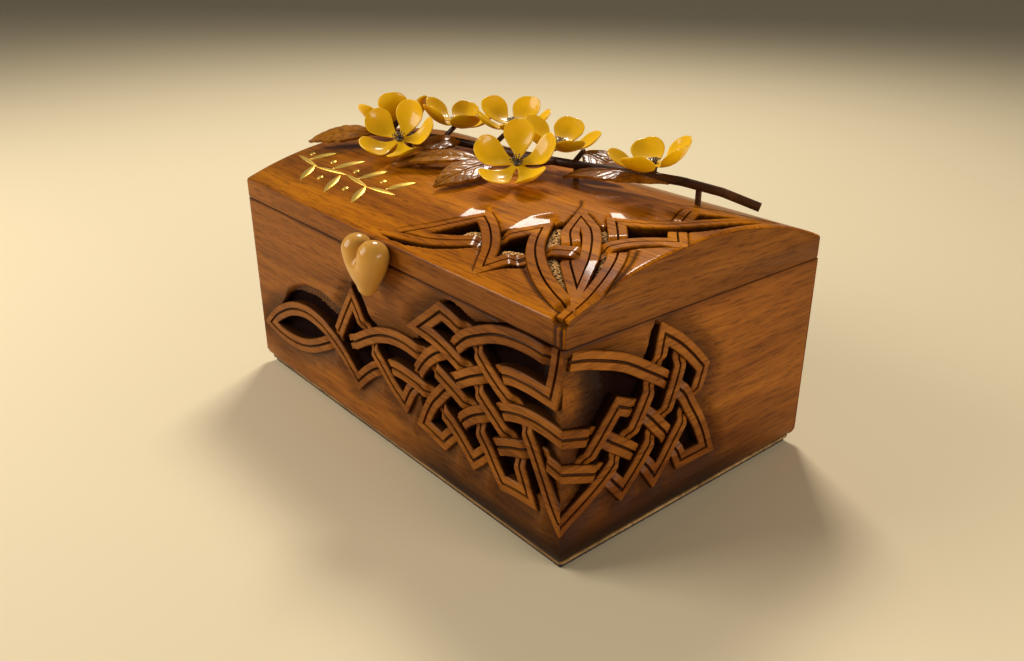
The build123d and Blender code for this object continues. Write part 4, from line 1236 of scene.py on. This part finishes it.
class KEEPSAKE_OT_heart(bpy.types.Operator):
    """Rounds the heart knob: two tear-shaped lobes melted into one below their cleft, flat at the back."""

    bl_idname = "keepsake.heart"
    bl_label = "Heart knob"

    def execute(self, context):
        bm = bmesh.new()
        bmesh.ops.create_uvsphere(bm, u_segments=96, v_segments=64, radius=1.0)
        middle = Vector((0, 0, HEART_LOBE_REACH * HEART_MIDDLE))
        for vert in bm.verts:
            way = vert.co.normalized()
            vert.co = middle + way * self.reach(middle, way)
        place = Matrix.Translation((HEART_X, HEART_Y, HEART_TIP_Z))
        bmesh.ops.transform(bm, matrix=place, verts=bm.verts)
        cut(bm, (0, -HALF_D - HEART_BACK_GAP, 0), (0, 1, 0))
        merge(bm, self.rod(HEART_PAD_R, -HALF_D - HEART_BACK_GAP * HEART_PAD_OUT, -HALF_D))
        merge(bm, self.rod(HEART_PEG_R, -HALF_D, -HALF_D + HEART_PEG_DEPTH))
        finish_object("heart_knob_turned", bm, [heart_wood()], "lid", ["heart_knob"], angle=40)
        return {"FINISHED"}

    def tear(self, point, way):
        """Distance of a point from one lobe."""
        lean = radians(HEART_SPREAD) * way
        axis = Vector((sin(lean), 0, cos(lean)))
        along = min(max(point.dot(axis), HEART_TIP_LIFT), HEART_LOBE_REACH)
        t = (HEART_LOBE_REACH - along) / (HEART_LOBE_REACH - HEART_TIP_LIFT)
        radius = HEART_LOBE_R + (HEART_TIP_R - HEART_LOBE_R) * t**HEART_FULLNESS
        return (point - axis * along).length - radius

    def reach(self, middle, way):
        """How far the heart's skin is from its middle."""
        near, far = 0.0, 2 * HEART_LOBE_REACH
        for halving in range(HEART_SEARCH):
            half = (near + far) / 2
            point = middle + way * half
            left, right = self.tear(point, -1), self.tear(point, 1)
            below = float(smooth_step((HEART_CLEFT_Z - point.z) / HEART_CLEFT_FADE))
            melt = HEART_LEAST_MELT + HEART_MELT * below
            share = max(melt - abs(left - right), 0.0) / melt
            if min(left, right) - share * share * melt / 4 < 0:
                near = half
            else:
                far = half
        return near

    def rod(self, radius, front, back):
        """A round rod along y behind the heart."""
        bm = bmesh.new()
        middle = Matrix.Translation((HEART_X, (front + back) / 2, HEART_PEG_Z))
        bmesh.ops.create_cone(
            bm, cap_ends=True, segments=32, radius1=radius, radius2=radius, depth=back - front,
            matrix=middle @ Matrix.Rotation(pi / 2, 4, "X"),
        )
        return bm


# ---- Flowers ----
# Outline of a petal: where along it it is widest, its fullness there, and where its tip begins to round
# off, how far and how bluntly
PETAL_WIDEST = 0.68
PETAL_SPREAD = 1.05
PETAL_TIP_FROM = 0.62
PETAL_TIP_WIDTH = 0.86
PETAL_TIP_POWER = 2.4
# A petal's sides end short of its middle by this share of what lies past its half
PETAL_SHORT_SIDES = 0.1
# The fold along a petal takes one part in this many of its half width
PETAL_FOLD_PARTS = 2.5
# Soft wave across a petal: height, turn from one petal to the next and turn along it
PETAL_WAVE = (0.45, 7.1, 5.0)
# Share of the boss's radius at which a petal starts
PETAL_ROOT = 0.5
# Turn from one stamen to the next, which spreads them evenly
GOLDEN_TURN = 2.39996
# Stamens: ring and height of their roots in parts of the boss, rise and spread, least length and what the
# longer ones add to it, bow and parts of a wire
STAMEN_RING = 0.55
STAMEN_ROOT = 0.4
STAMEN_RISE = 1.25
STAMEN_SPREAD = 0.5
STAMEN_LEAST = 0.85
STAMEN_UNEVEN = 0.3
STAMEN_BOW = 0.22
STAMEN_PARTS = 4
# Number of lengths that the stamens take, and the step from one stamen's length to the next one's
STAMEN_LENGTHS = 5
STAMEN_SHUFFLE = 7
# The boss: its dome in parts of its radius and height, points down the dome, neck in parts of its radius
# and depth, and radius of its foot
DOME_R = 0.72
DOME_HEIGHT = 0.7
DOME_POINTS = 7
DOME_NECK = (0.7, 0.6)
DOME_FOOT_R = 1.1


def facing_matrix(center, azimuth, elevation):
    """Frame of a flower: z the way it looks, x level."""
    across, up = radians(azimuth), radians(elevation)
    axis = Vector((cos(up) * sin(across), -cos(up) * cos(across), sin(up)))
    level = Vector((0, 0, 1)).cross(axis).normalized()
    return Matrix.Translation(center) @ Matrix((level, axis.cross(level), axis)).transposed().to_4x4()


def petal_point(t, q, seed, sizes):
    """A point of a petal's middle surface: t along it, q from -1 to 1 across."""
    full = PETAL_CLAW + (PETAL_HALF_WIDTH * PETAL_SPREAD - PETAL_CLAW) * smooth_step(t / PETAL_WIDEST)
    tip = max(t - PETAL_TIP_FROM, 0) / (1 - PETAL_TIP_FROM)
    side = q * full * sqrt(max(1 - (tip * PETAL_TIP_WIDTH) ** PETAL_TIP_POWER, 0.0))
    reach = PETAL_LENGTH * (t - PETAL_SHORT_SIDES * max(t - 0.5, 0) * q * q)
    cup_rim = sqrt(PETAL_CUP_R**2 - (PETAL_LENGTH / 2) ** 2)
    under = PETAL_CUP_R**2 - (reach - PETAL_LENGTH / 2) ** 2 - side**2
    height, seed_turn, length_turn = PETAL_WAVE
    cup = cup_rim - sqrt(max(under, 1.0))
    cup -= sizes.petal_crease * (1 - min(abs(q) * PETAL_FOLD_PARTS, 1)) * t
    cup += height * sin(seed * seed_turn + t * length_turn) * q * t
    return Vector((reach, side, cup))


def petal_blade(seed, sizes):
    """One petal as a single surface, lying along x and lifted about its claw."""
    bm = bmesh.new()
    bmesh.ops.create_grid(bm, x_segments=10, y_segments=6, size=1)
    root = Matrix.Translation((BOSS_R * PETAL_ROOT, 0, 0))
    lift = root @ Matrix.Rotation(-radians(PETAL_LIFT), 4, "Y")
    set_places(bm, lambda x, y, z: lift @ petal_point((x + 1) / 2, y, seed, sizes))
    return bm


def stamen(bm, number, k, sizes):
    """One stamen of a flower: a bowed wire with a round head."""
    turn = k * GOLDEN_TURN + number
    share = sqrt((k + 0.5) / sizes.filaments)
    out = Vector((cos(turn), sin(turn), 0))
    root = out * BOSS_R * STAMEN_RING * share + Vector((0, 0, BOSS_HEIGHT * STAMEN_ROOT))
    lean = (out * share + Vector((0, 0, STAMEN_RISE - STAMEN_SPREAD * share))).normalized()
    uneven = STAMEN_LEAST + STAMEN_UNEVEN * (k * STAMEN_SHUFFLE % STAMEN_LENGTHS) / STAMEN_LENGTHS
    run = lean * sizes.filament_length * uneven
    bow = Vector((run.x, run.y, 0)) * STAMEN_BOW
    upright = Vector((0, 0, 1)).rotation_difference(run).to_matrix().to_4x4()
    circle = bmesh.ops.create_circle(
        bm, cap_ends=False, segments=6, radius=sizes.filament_r, matrix=Matrix.Translation(root) @ upright
    )["verts"]
    ring = list({edge for vert in circle for edge in vert.link_edges})
    for part in range(STAMEN_PARTS):
        fresh, ring = grow(bm, ring)
        ease = sin(pi * (part + 1) / STAMEN_PARTS) - sin(pi * part / STAMEN_PARTS)
        bmesh.ops.translate(bm, verts=fresh, vec=run / STAMEN_PARTS - bow * ease)
    head = Matrix.Translation(root + run)
    bmesh.ops.create_uvsphere(bm, u_segments=10, v_segments=6, radius=sizes.bead_r, matrix=head)


def dome(bm):
    """The round boss that the petals stand round."""
    turns = np.linspace(pi / 2, 0, DOME_POINTS)
    outline = [(BOSS_R * DOME_R * cos(turn), BOSS_HEIGHT * DOME_HEIGHT * sin(turn)) for turn in turns]
    outline += [(BOSS_R * DOME_NECK[0], -BOSS_DEPTH * DOME_NECK[1]), (DOME_FOOT_R, -BOSS_DEPTH)]
    outline += [(0, -BOSS_DEPTH)]
    verts = [bm.verts.new((max(r, 0.0), 0, z)) for r, z in outline]
    edges = [bm.edges.new(pair) for pair in zip(verts[:-1], verts[1:])]
    bmesh.ops.spin(
        bm, geom=verts + edges, cent=(0, 0, 0), axis=(0, 0, 1), angle=2 * pi, steps=24, use_merge=True
    )
    bmesh.ops.remove_doubles(bm, verts=bm.verts, dist=TOUCH)


def solid_modifiers(obj, thick, levels):
    """Gives a blade its thickness and rounds it."""
    solid = obj.modifiers.new("Thickness", "SOLIDIFY")
    solid.thickness = thick * MM
    solid.offset = -1
    soft = obj.modifiers.new("Rounding", "SUBSURF")
    soft.levels = levels
    soft.render_levels = levels


class KEEPSAKE_OT_flowers(bpy.types.Operator):
    """Makes the seven flowers: five cupped petals each, a boss and a tuft of wire stamens."""

    bl_idname = "keepsake.flowers"
    bl_label = "Flowers"

    def execute(self, context):
        sizes = spray()
        yellow = petal_wood()
        wire = metal("stamen_wire", colours().wire, rough=0.38)
        for number, (name, (center, azimuth, elevation, roll)) in enumerate(FLOWERS.items()):
            facing = facing_matrix(center, azimuth, elevation)
            bm = bmesh.new()
            for k in range(PETAL_COUNT):
                blade = petal_blade(number * PETAL_COUNT + k, sizes)
                turn = facing @ Matrix.Rotation(radians(roll + k * 360 / PETAL_COUNT), 4, "Z")
                bmesh.ops.transform(blade, matrix=turn, verts=blade.verts)
                merge(bm, blade)
            petals = finish_object(name + "_petals", bm, [yellow], "lid", [name], angle=180)
            solid_modifiers(petals, sizes.petal_thick, levels=2)
            bm = bmesh.new()
            dome(bm)
            for k in range(sizes.filaments):
                stamen(bm, number, k, sizes)
            bmesh.ops.transform(bm, matrix=facing, verts=bm.verts)
            stamens = [name + "_stamens"]
            finish_object(name + "_wires", bm, [wire], "lid", stamens, angle=50)
        return {"FINISHED"}


# ---- Leaves ----
# Powers that shape a leaf's outline, fuller behind its middle and blunt at its ends, and least half width
LEAF_FULL_AT = 0.86
LEAF_BLUNT = 0.92
LEAF_LEAST_HALF = 0.12
# Ripple of the edge: height, turn along the leaf, and the share of it on one side
LEAF_RIPPLE = (0.035, 31, 0.7)
# Midrib: half its width, and depth and half width of the valley that it lies in
MIDRIB_HALF = 0.7
VALLEY = (0.5, 2.6)
# Side veins: slant, spacing, depth, half width in halves of the spacing, and where across they are whole
VEIN_SLANT = 1.1
VEIN_SPACING = 4.6
VEIN_DEPTH = 0.22
VEIN_HALF = 0.4
VEIN_FROM = 0.3
# Carved grain of the blade: height, and pitch along and across it
LEAF_GRAIN = (0.10, 0.15, 1.2)
# Turn of the pattern from one leaf to the next
LEAF_SEED = 1.7


def leaf_point(t, q, long, width, seed, sizes):
    """A point of a leaf's upper face, with its veins: t along it, q from -1 to 1 across."""
    outline = sin(pi * t**LEAF_FULL_AT) ** LEAF_BLUNT if 0 < t < 1 else 0.0
    height, turn, other = LEAF_RIPPLE
    ripple = 1 + height * sin(t * turn + seed) * (1 if q > 0 else other)
    x, y = long * t, q * max(width / 2 * outline * ripple, LEAF_LEAST_HALF)
    rise = LEAF_CURVE_R - sqrt(LEAF_CURVE_R**2 - (long / 2) ** 2)
    z = sqrt(LEAF_CURVE_R**2 - (x - long / 2) ** 2 - y * y) - LEAF_CURVE_R + rise
    midrib = sizes.vein_height * (1 - smooth_step(abs(y) / MIDRIB_HALF))
    midrib -= VALLEY[0] * (1 - smooth_step(abs(y) / VALLEY[1]))
    phase = (x - abs(y) * VEIN_SLANT + seed) / VEIN_SPACING
    beside = abs(phase - round(phase)) * 2
    vein = -VEIN_DEPTH * (1 - smooth_step(beside / VEIN_HALF)) * smooth_step(abs(q) / VEIN_FROM)
    depth, along, across = LEAF_GRAIN
    grain = depth * noise.noise(Vector((x * along, y * across, seed)))
    return Vector((x, y, z + midrib + (vein + grain) * outline))


class KEEPSAKE_OT_leaves(bpy.types.Operator):
    """Carves the six veined leaves."""

    bl_idname = "keepsake.leaves"
    bl_label = "Leaves"

    def execute(self, context):
        sizes = spray()
        wood = leaf_wood()
        for number, (name, (base, tip, width, lean)) in enumerate(LEAVES.items()):
            run = Vector(tip) - Vector(base)
            ahead = run.normalized()
            up = run.cross(Vector((0, 0, 1)).cross(run)).normalized()
            plane = Matrix.Translation(base) @ Matrix((ahead, up.cross(ahead), up)).transposed().to_4x4()
            plane = plane @ Matrix.Rotation(radians(lean), 4, "X")
            bm = bmesh.new()
            bmesh.ops.create_grid(bm, x_segments=72, y_segments=36, size=1)
            for vert in bm.verts:
                t, q = (vert.co.x + 1) / 2, vert.co.y
                vert.co = leaf_point(t, q, run.length, width, number * LEAF_SEED, sizes)
            fresh, rim = grow(bm, boundary(bm))
            bmesh.ops.translate(bm, verts=fresh, vec=(0, 0, -sizes.leaf_thick))
            bmesh.ops.contextual_create(bm, geom=rim)
            bmesh.ops.triangulate(bm, faces=[face for face in bm.faces if len(face.verts) > 4])
            bmesh.ops.transform(bm, matrix=plane, verts=bm.verts)
            finish_object(name + "_veined", bm, [wood], "lid", [name], angle=40)
        return {"FINISHED"}


# ---- Plain walls, stem and hinges ----
class KEEPSAKE_OT_hardware(bpy.types.Operator):
    """Gives the frame's own pieces their woods and metals: plain walls, board, stems and hinges."""

    bl_idname = "keepsake.hardware"
    bl_label = "Plain walls, stems and hinges"

    def execute(self, context):
        brass = metal("hinge_brass", colours().brass, rough=0.3)
        steel = metal("screw_steel", colours().steel, rough=0.28)
        bark = stem_wood()
        finishes = {
            "back_wall": case_wood("back_wood", ALONG_X),
            "left_wall": case_wood("left_wood", ALONG_Y),
            "bottom_board": plain_wood("board_wood", colours().board),
            "box_hinge_screws": steel,
            "lid_hinge_screws": steel,
        }
        for stick in ("main_stem", "side_twigs", "spray_pegs"):
            finishes[stick] = bark
        for side in ("left", "right"):
            for part in ("hinge_box_leaf", "hinge_lid_leaf", "hinge_pin"):
                finishes[f"{side}_{part}"] = brass
        for node, material in finishes.items():
            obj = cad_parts[node]
            for one in obj.material_slots:
                one.material = material
            if not obj.material_slots:
                obj.data.materials.append(material)
        return {"FINISHED"}


# ---- Gilding ----
# Gilded sprig on the lid's front slope: slim leaves as centre (x, round the arch), length, width and turn
# in degrees, then its berries
GILT_LEAVES = [
    ((-92.0, -46.0), 24.0, 2.0, -7.0),
    ((-70.0, -46.5), 24.0, 2.0, 6.0),
    ((-48.0, -46.5), 24.0, 2.0, -7.0),
    ((-28.0, -47.0), 20.0, 1.9, 5.0),
    ((-90.0, -38.5), 14.0, 4.4, 62.0),
    ((-80.0, -53.0), 14.0, 4.4, -58.0),
    ((-68.0, -38.5), 15.0, 4.6, 60.0),
    ((-57.0, -53.5), 15.0, 4.6, -60.0),
    ((-46.0, -38.5), 15.0, 4.6, 62.0),
    ((-35.0, -53.5), 14.0, 4.4, -58.0),
    ((-24.0, -39.5), 13.0, 4.2, 58.0),
]
GILT_DOTS = [(-98.0, -40.0), (-78.0, -40.5), (-57.0, -41.0), (-35.0, -41.0), (-68.5, -53.0), (-46.0, -53.5)]
GILT_DOT_R = 1.5
# Height of a berry as a share of its radius; a slim leaf's rise, and what its points keep of it
GILT_DOT_FLAT = 0.35
GILT_HEIGHT = 0.45
GILT_POINT_SHARE = 0.4


class KEEPSAKE_OT_gilding(bpy.types.Operator):
    """Lays a gilded sprig of slim leaves and berries on the lid."""

    bl_idname = "keepsake.gilding"
    bl_label = "Gilded ornament"

    def execute(self, context):
        shape = LidShape(carving().lid_edge_r)
        bm = bmesh.new()
        for (u, v), long, wide, turn in GILT_LEAVES:
            place = Matrix.Translation((u, v, 0)) @ Matrix.Rotation(radians(turn), 4, "Z")
            self.blade(bm, place, long, wide)
        for u, v in GILT_DOTS:
            place = Matrix.Translation((u, v, 0)) @ Matrix.Diagonal((1, 1, GILT_DOT_FLAT, 1))
            bmesh.ops.create_uvsphere(bm, u_segments=16, v_segments=8, radius=GILT_DOT_R, matrix=place)
        set_places(bm, shape.place)
        gilt = metal("gilt", colours().gilt, rough=0.4)
        finish_object("lid_gilding", bm, [gilt], "lid", [], angle=30)
        return {"FINISHED"}

    def blade(self, bm, place, long, wide):
        """A slim raised leaf with drawn-out points."""
        for vert in bmesh.ops.create_uvsphere(bm, u_segments=24, v_segments=12, radius=1.0)["verts"]:
            x, y, z = vert.co
            slim = max(1 - x * x, 0.0) ** 0.5
            height = z * GILT_HEIGHT * (GILT_POINT_SHARE + slim)
            vert.co = place @ Vector((x * long / 2, y * wide / 2 * slim, height))


# ---- Materials ----
WHITE = (1.0, 1.0, 1.0)
# What a wood's colour is multiplied by in its darker streaks and in its pores
STREAK_TINT = (0.62, 0.55, 0.48)
PORE_TINT = (0.42, 0.36, 0.3)
# Stretch of a pattern: not at all, or as grain along x or along y
EVEN = (1.0, 1.0, 1.0)
ALONG_X = (1.0, 14.0, 14.0)
ALONG_Y = (14.0, 1.0, 14.0)


# Places of a colour mix's sockets among its inputs and outputs
MIX_FACTOR, MIX_FIRST, MIX_SECOND, MIX_RESULT = 0, 6, 7, 2


def shaded(tint, share):
    """A colour darkened to a share of itself."""
    return tuple(part * share for part in tint)


def opaque(tint):
    """A colour as a shader's socket takes it."""
    return (*tint, 1)


class Finish:
    """A material in the making: its nodes, its links and its main shader."""

    def __init__(self, name):
        self.material = bpy.data.materials.new(name)
        self.material.use_nodes = True
        tree = self.material.node_tree
        self.nodes, self.links = tree.nodes, tree.links
        self.shader = tree.nodes["Principled BSDF"]

    def fill(self, node, values):
        """Sets a node's inputs; each value is a socket to link, or a constant."""
        for key, value in values.items():
            if isinstance(value, bpy.types.NodeSocket):
                self.links.new(value, node.inputs[key])
            else:
                node.inputs[key].default_value = value

    def shade(self, values):
        """Sets the main shader's inputs, and gives the material."""
        self.fill(self.shader, values)
        return self.material

    def node(self, kind, values):
        """A new node with its inputs set."""
        made = self.nodes.new("ShaderNode" + kind)
        self.fill(made, values)
        return made

    def place(self):
        """Object coordinates."""
        return self.node("TexCoord", {}).outputs["Object"]

    def noise(self, stretch, scale, detail=4.0, rough=0.55, bent=0.0):
        """A noise texture's factor on stretched object coordinates."""
        values = {"Scale": scale, "Detail": detail, "Roughness": rough, "Distortion": bent}
        mapping = self.node("Mapping", {"Scale": stretch, "Vector": self.place()})
        return self.node("TexNoise", {"Vector": mapping.outputs["Vector"], **values}).outputs["Fac"]

    def ramp(self, factor, *stops):
        """A colour ramp through (position, colour) stops."""
        made = self.node("ValToRGB", {"Fac": factor})
        elements = made.color_ramp.elements
        while len(elements) < len(stops):
            elements.new(0.5)
        for element, (position, tint) in zip(elements, stops):
            element.position = position
            element.color = opaque(tint)
        return made.outputs["Color"]

    def mixed(self, factor, first, second, blend="MIX"):
        """Two colours mixed by a factor."""
        made = self.nodes.new("ShaderNodeMix")
        made.data_type = "RGBA"
        made.blend_type = blend
        self.fill(made, {MIX_FACTOR: factor, MIX_FIRST: first, MIX_SECOND: second})
        return made.outputs[MIX_RESULT]

    def stained(self, wood):
        """A colour darkened by the surface's hollow attribute: staining and painted shade."""
        attribute = self.nodes.new("ShaderNodeAttribute")
        attribute.attribute_name = "hollow"
        return self.mixed(attribute.outputs["Fac"], wood, opaque(colours().hollow))

    def dimmed(self, wood, share):
        """A colour darkened to a share of itself at the left end, and as it is from the middle on."""
        split = self.node("SeparateXYZ", {"Vector": self.place()})
        values = {"From Min": -HALF_L * MM, "From Max": 0.0, "Value": split.outputs["X"]}
        along = self.node("MapRange", values).outputs["Result"]
        return self.mixed(1.0, wood, self.ramp(along, (0.1, (share,) * 3), (1.0, WHITE)), "MULTIPLY")

    def bump(self, factor, strength, distance):
        """Fine relief from a factor."""
        node = self.node("Bump", {"Strength": strength, "Distance": distance, "Height": factor})
        self.links.new(node.outputs["Normal"], self.shader.inputs["Normal"])


def grained(name, light, dark, stretch, rough, coat, stained=True, gloss=0.1, relief=0.1, left_tone=1.0):
    """Wood with long soft figure, fine pores and, in its hollows, dark staining and painted shade."""
    look = Finish(name)
    broad = look.noise(stretch, scale=3.6, detail=3.0, rough=0.5, bent=0.4)
    streaks = look.noise(stretch, scale=21.0, detail=5.0, rough=0.65, bent=0.2)
    fine = look.noise(stretch, scale=75.0, rough=0.7)
    middle = [(a + b) / 2 for a, b in zip(light, dark)]
    tone = look.ramp(broad, (0.32, dark), (0.5, middle), (0.68, light))
    bands = look.ramp(streaks, (0.36, STREAK_TINT), (0.6, WHITE))
    pores = look.ramp(fine, (0.38, PORE_TINT), (0.5, WHITE))
    wood = look.mixed(0.75, look.mixed(0.8, tone, bands, "MULTIPLY"), pores, "MULTIPLY")
    if left_tone < 1:
        wood = look.dimmed(wood, left_tone)
    if stained:
        wood = look.stained(wood)
    look.bump(fine, relief, distance=0.0003)
    return look.shade({
        "Base Color": wood, "Roughness": rough, "Specular IOR Level": gloss, "Coat Weight": coat,
        "Coat Roughness": 0.1,
    })


def case_wood(name, stretch, tone=1.0):
    """Brown satin hardwood of the case, its grain along the wall."""
    light, dark = shaded(colours().case_light, tone), shaded(colours().case_dark, tone)
    return grained(name, light, dark, stretch, rough=0.5, coat=0.03)


def lid_wood():
    """Amber hardwood of the lid, under gloss lacquer."""
    light, dark = colours().lid_light, colours().lid_dark
    return grained("lid_wood", light, dark, ALONG_X, rough=0.45, coat=0.3, gloss=0.04, left_tone=0.6)


def dulled_wood():
    """The lid's wood made dull where staining and painted shade darken it: grooves, flanks and engraved
    lines.
    """
    light, dark = colours().lid_light, colours().lid_dark
    return grained("lid_stained_wood", light, dark, ALONG_X, rough=0.7, coat=0.0, gloss=0.04)


def ground_wood():
    """Matt punched ground of the hollows: dark staining and painted shade over pale wood."""
    look = Finish("ground_wood")
    grit = look.noise(EVEN, scale=1400.0, detail=2.0, rough=0.6)
    speck = look.ramp(grit, (0.44, shaded(colours().ground, 0.03)), (0.56, colours().ground))
    return look.shade({"Base Color": look.stained(speck), "Roughness": 0.9, "Specular IOR Level": 0.05})


def leaf_wood():
    """Dark lacquered wood of the leaves."""
    light, dark = colours().leaf_light, colours().leaf_dark
    return grained(
        "leaf_wood", light, dark, (9, 5, 5), rough=0.4, coat=0.4, stained=False, gloss=0.06, relief=0.6
    )


def stem_wood():
    """Dark rough wood of the stems."""
    tint = colours().stem
    return grained("stem_wood", tint, shaded(tint, 0.3), (6, 20, 20), rough=0.55, coat=0.1, stained=False)


def plain_wood(name, tint):
    """Pale wood in one tone."""
    return grained(name, tint, shaded(tint, 0.6), (1.3, 9, 9), rough=0.5, coat=0.0, stained=False)


def glossy(name, tint, spread, rough):
    """Lacquered wood of one clear colour, a little uneven."""
    look = Finish(name)
    cloud = look.noise(EVEN, scale=60.0, detail=3.0)
    tone = look.ramp(cloud, (0.3, shaded(tint, 1 - spread)), (0.7, tint))
    return look.shade({
        "Base Color": tone, "Roughness": rough, "Specular IOR Level": 0.12, "Coat Weight": 0.42,
        "Coat Roughness": 0.09,
    })


def petal_wood():
    """Bright yellow lacquered petals."""
    return glossy("petal_wood", colours().petal, spread=0.16, rough=0.35)


def heart_wood():
    """Pale polished wood of the heart."""
    return glossy("heart_wood", colours().heart, spread=0.12, rough=0.3)


def metal(name, tint, rough):
    """A metal with fine brushed relief."""
    look = Finish(name)
    look.bump(look.noise((1, 8, 8), scale=900.0, detail=2.0), strength=0.05, distance=0.0001)
    return look.shade({"Base Color": opaque(tint), "Metallic": 1.0, "Roughness": rough})


def fabric(name, tint, rough, sheen):
    """Short-piled cloth."""
    look = Finish(name)
    pile = look.noise(EVEN, scale=700.0)
    look.bump(pile, strength=0.25, distance=0.0004)
    return look.shade({
        "Base Color": look.ramp(pile, (0.3, shaded(tint, 0.55)), (0.7, tint)),
        "Roughness": rough, "Sheen Weight": sheen, "Sheen Roughness": 0.4,
        "Sheen Tint": opaque(min(part * 6 + 0.05, 1) for part in tint),
    })


# ---- Floor, light and camera ----
CAMERA_PLACE = (0.289168, -0.233948, 0.200362)
CAMERA_RIGHT = (0.67505842, 0.73743742, 0.0219588)
CAMERA_UP = (-0.30473463, 0.25160405, 0.9186034)
CAMERA_BACK = (0.6718876, -0.62680256, 0.39457015)
CAMERA_LENS = 31.4966
CAMERA_SENSOR = 36.0
CAMERA_SHIFT = (-0.05605, -0.0121)
CAMERA_NEAREST = 0.01
# Lights: place, target, size, power, colour
LIGHTS = {
    "key": ((-0.57, 0.54, 1.08), (0, 0, 0.06), (0.32, 0.32), 10.9, (1.0, 0.95, 0.86)),
    "front": ((-0.50, -0.70, 0.50), (0, 0, 0.05), (0.6, 0.6), 7.0, (1.0, 0.95, 0.88)),
    "side": ((0.80, 0.12, 0.21), (0, 0, 0.05), (0.5, 0.28), 3.4, (1.0, 0.93, 0.84)),
}
WORLD_TINT = (1.0, 0.95, 0.88)
WORLD_STRENGTH = 0.13
FLOOR_HALF = 12.0


class KEEPSAKE_OT_stage(bpy.types.Operator):
    """Sets the pale floor, the soft lights and the camera."""

    bl_idname = "keepsake.stage"
    bl_label = "Stage"

    def execute(self, context):
        scene = bpy.context.scene
        self.add_floor(scene)
        for name, light in LIGHTS.items():
            self.add_light(scene, name, *light)
        self.add_camera(scene)
        world = scene.world or bpy.data.worlds.new("world")
        scene.world = world
        world.use_nodes = True
        background = world.node_tree.nodes["Background"]
        background.inputs["Color"].default_value = opaque(WORLD_TINT)
        background.inputs["Strength"].default_value = WORLD_STRENGTH
        scene.view_settings.view_transform = "Standard"
        return {"FINISHED"}

    def add_floor(self, scene):
        """A wide plain floor."""
        bm = bmesh.new()
        bmesh.ops.create_grid(bm, x_segments=1, y_segments=1, size=FLOOR_HALF)
        mesh = bpy.data.meshes.new("floor")
        bm.to_mesh(mesh)
        bm.free()
        floor = bpy.data.objects.new("floor", mesh)
        scene.collection.objects.link(floor)
        paint = {"Base Color": opaque(colours().floor), "Roughness": 0.85}
        mesh.materials.append(Finish("floor").shade(paint))

    def add_light(self, scene, name, place, target, size, power, tint):
        """A soft rectangular light at a place, turned to its target."""
        lamp = bpy.data.lights.new(name, "AREA")
        lamp.shape = "RECTANGLE"
        lamp.size, lamp.size_y = size
        lamp.energy = power
        lamp.color = tint
        obj = bpy.data.objects.new(name, lamp)
        obj.location = place
        obj.rotation_euler = (Vector(target) - Vector(place)).to_track_quat("-Z", "Y").to_euler()
        scene.collection.objects.link(obj)

    def add_camera(self, scene):
        """The camera, at its place and turn."""
        camera = bpy.data.cameras.new("camera")
        camera.lens = CAMERA_LENS
        camera.sensor_width = CAMERA_SENSOR
        camera.shift_x, camera.shift_y = CAMERA_SHIFT
        camera.clip_start = CAMERA_NEAREST
        obj = bpy.data.objects.new("camera", camera)
        turn = Matrix((CAMERA_RIGHT, CAMERA_UP, CAMERA_BACK)).transposed().to_4x4()
        obj.matrix_world = Matrix.Translation(CAMERA_PLACE) @ turn
        scene.collection.objects.link(obj)
        scene.camera = obj


# ---- Sidebar ----
class KEEPSAKE_PT_panel(bpy.types.Panel):
    """The box's pieces and their sizes."""

    bl_idname = "KEEPSAKE_PT_panel"
    bl_label = "Keepsake Box"
    bl_space_type = "VIEW_3D"
    bl_region_type = "UI"
    bl_category = "Keepsake"

    def draw(self, context):
        layout = self.layout
        for operator in OPERATORS:
            layout.operator(operator.bl_idname)
        for name, group in GROUPS.items():
            box = layout.box()
            for size in group.__annotations__:
                box.prop(getattr(context.scene, name), size)


OPERATORS = [
    KEEPSAKE_OT_walls,
    KEEPSAKE_OT_lid,
    KEEPSAKE_OT_gilding,
    KEEPSAKE_OT_linings,
    KEEPSAKE_OT_heart,
    KEEPSAKE_OT_flowers,
    KEEPSAKE_OT_leaves,
    KEEPSAKE_OT_hardware,
    KEEPSAKE_OT_stage,
]
GROUPS = {
    "keepsake_carving": CarvingSizes,
    "keepsake_spray": SpraySizes,
    "keepsake_colours": KeepsakeColours,
}


def register():
    """Adds the groups, operators and panel to Blender."""
    for name, group in GROUPS.items():
        bpy.utils.register_class(group)
        setattr(bpy.types.Scene, name, PointerProperty(type=group))
    for cls in OPERATORS + [KEEPSAKE_PT_panel]:
        bpy.utils.register_class(cls)


def unregister():
    """Takes them away again."""
    for cls in reversed(OPERATORS + [KEEPSAKE_PT_panel]):
        bpy.utils.unregister_class(cls)
    for name, group in GROUPS.items():
        delattr(bpy.types.Scene, name)
        bpy.utils.unregister_class(group)


def main():
    """Builds every piece and the stage."""
    register()
    for operator in OPERATORS:
        group, name = operator.bl_idname.split(".")
        getattr(getattr(bpy.ops, group), name)()


if __name__ == "__main__":
    main()
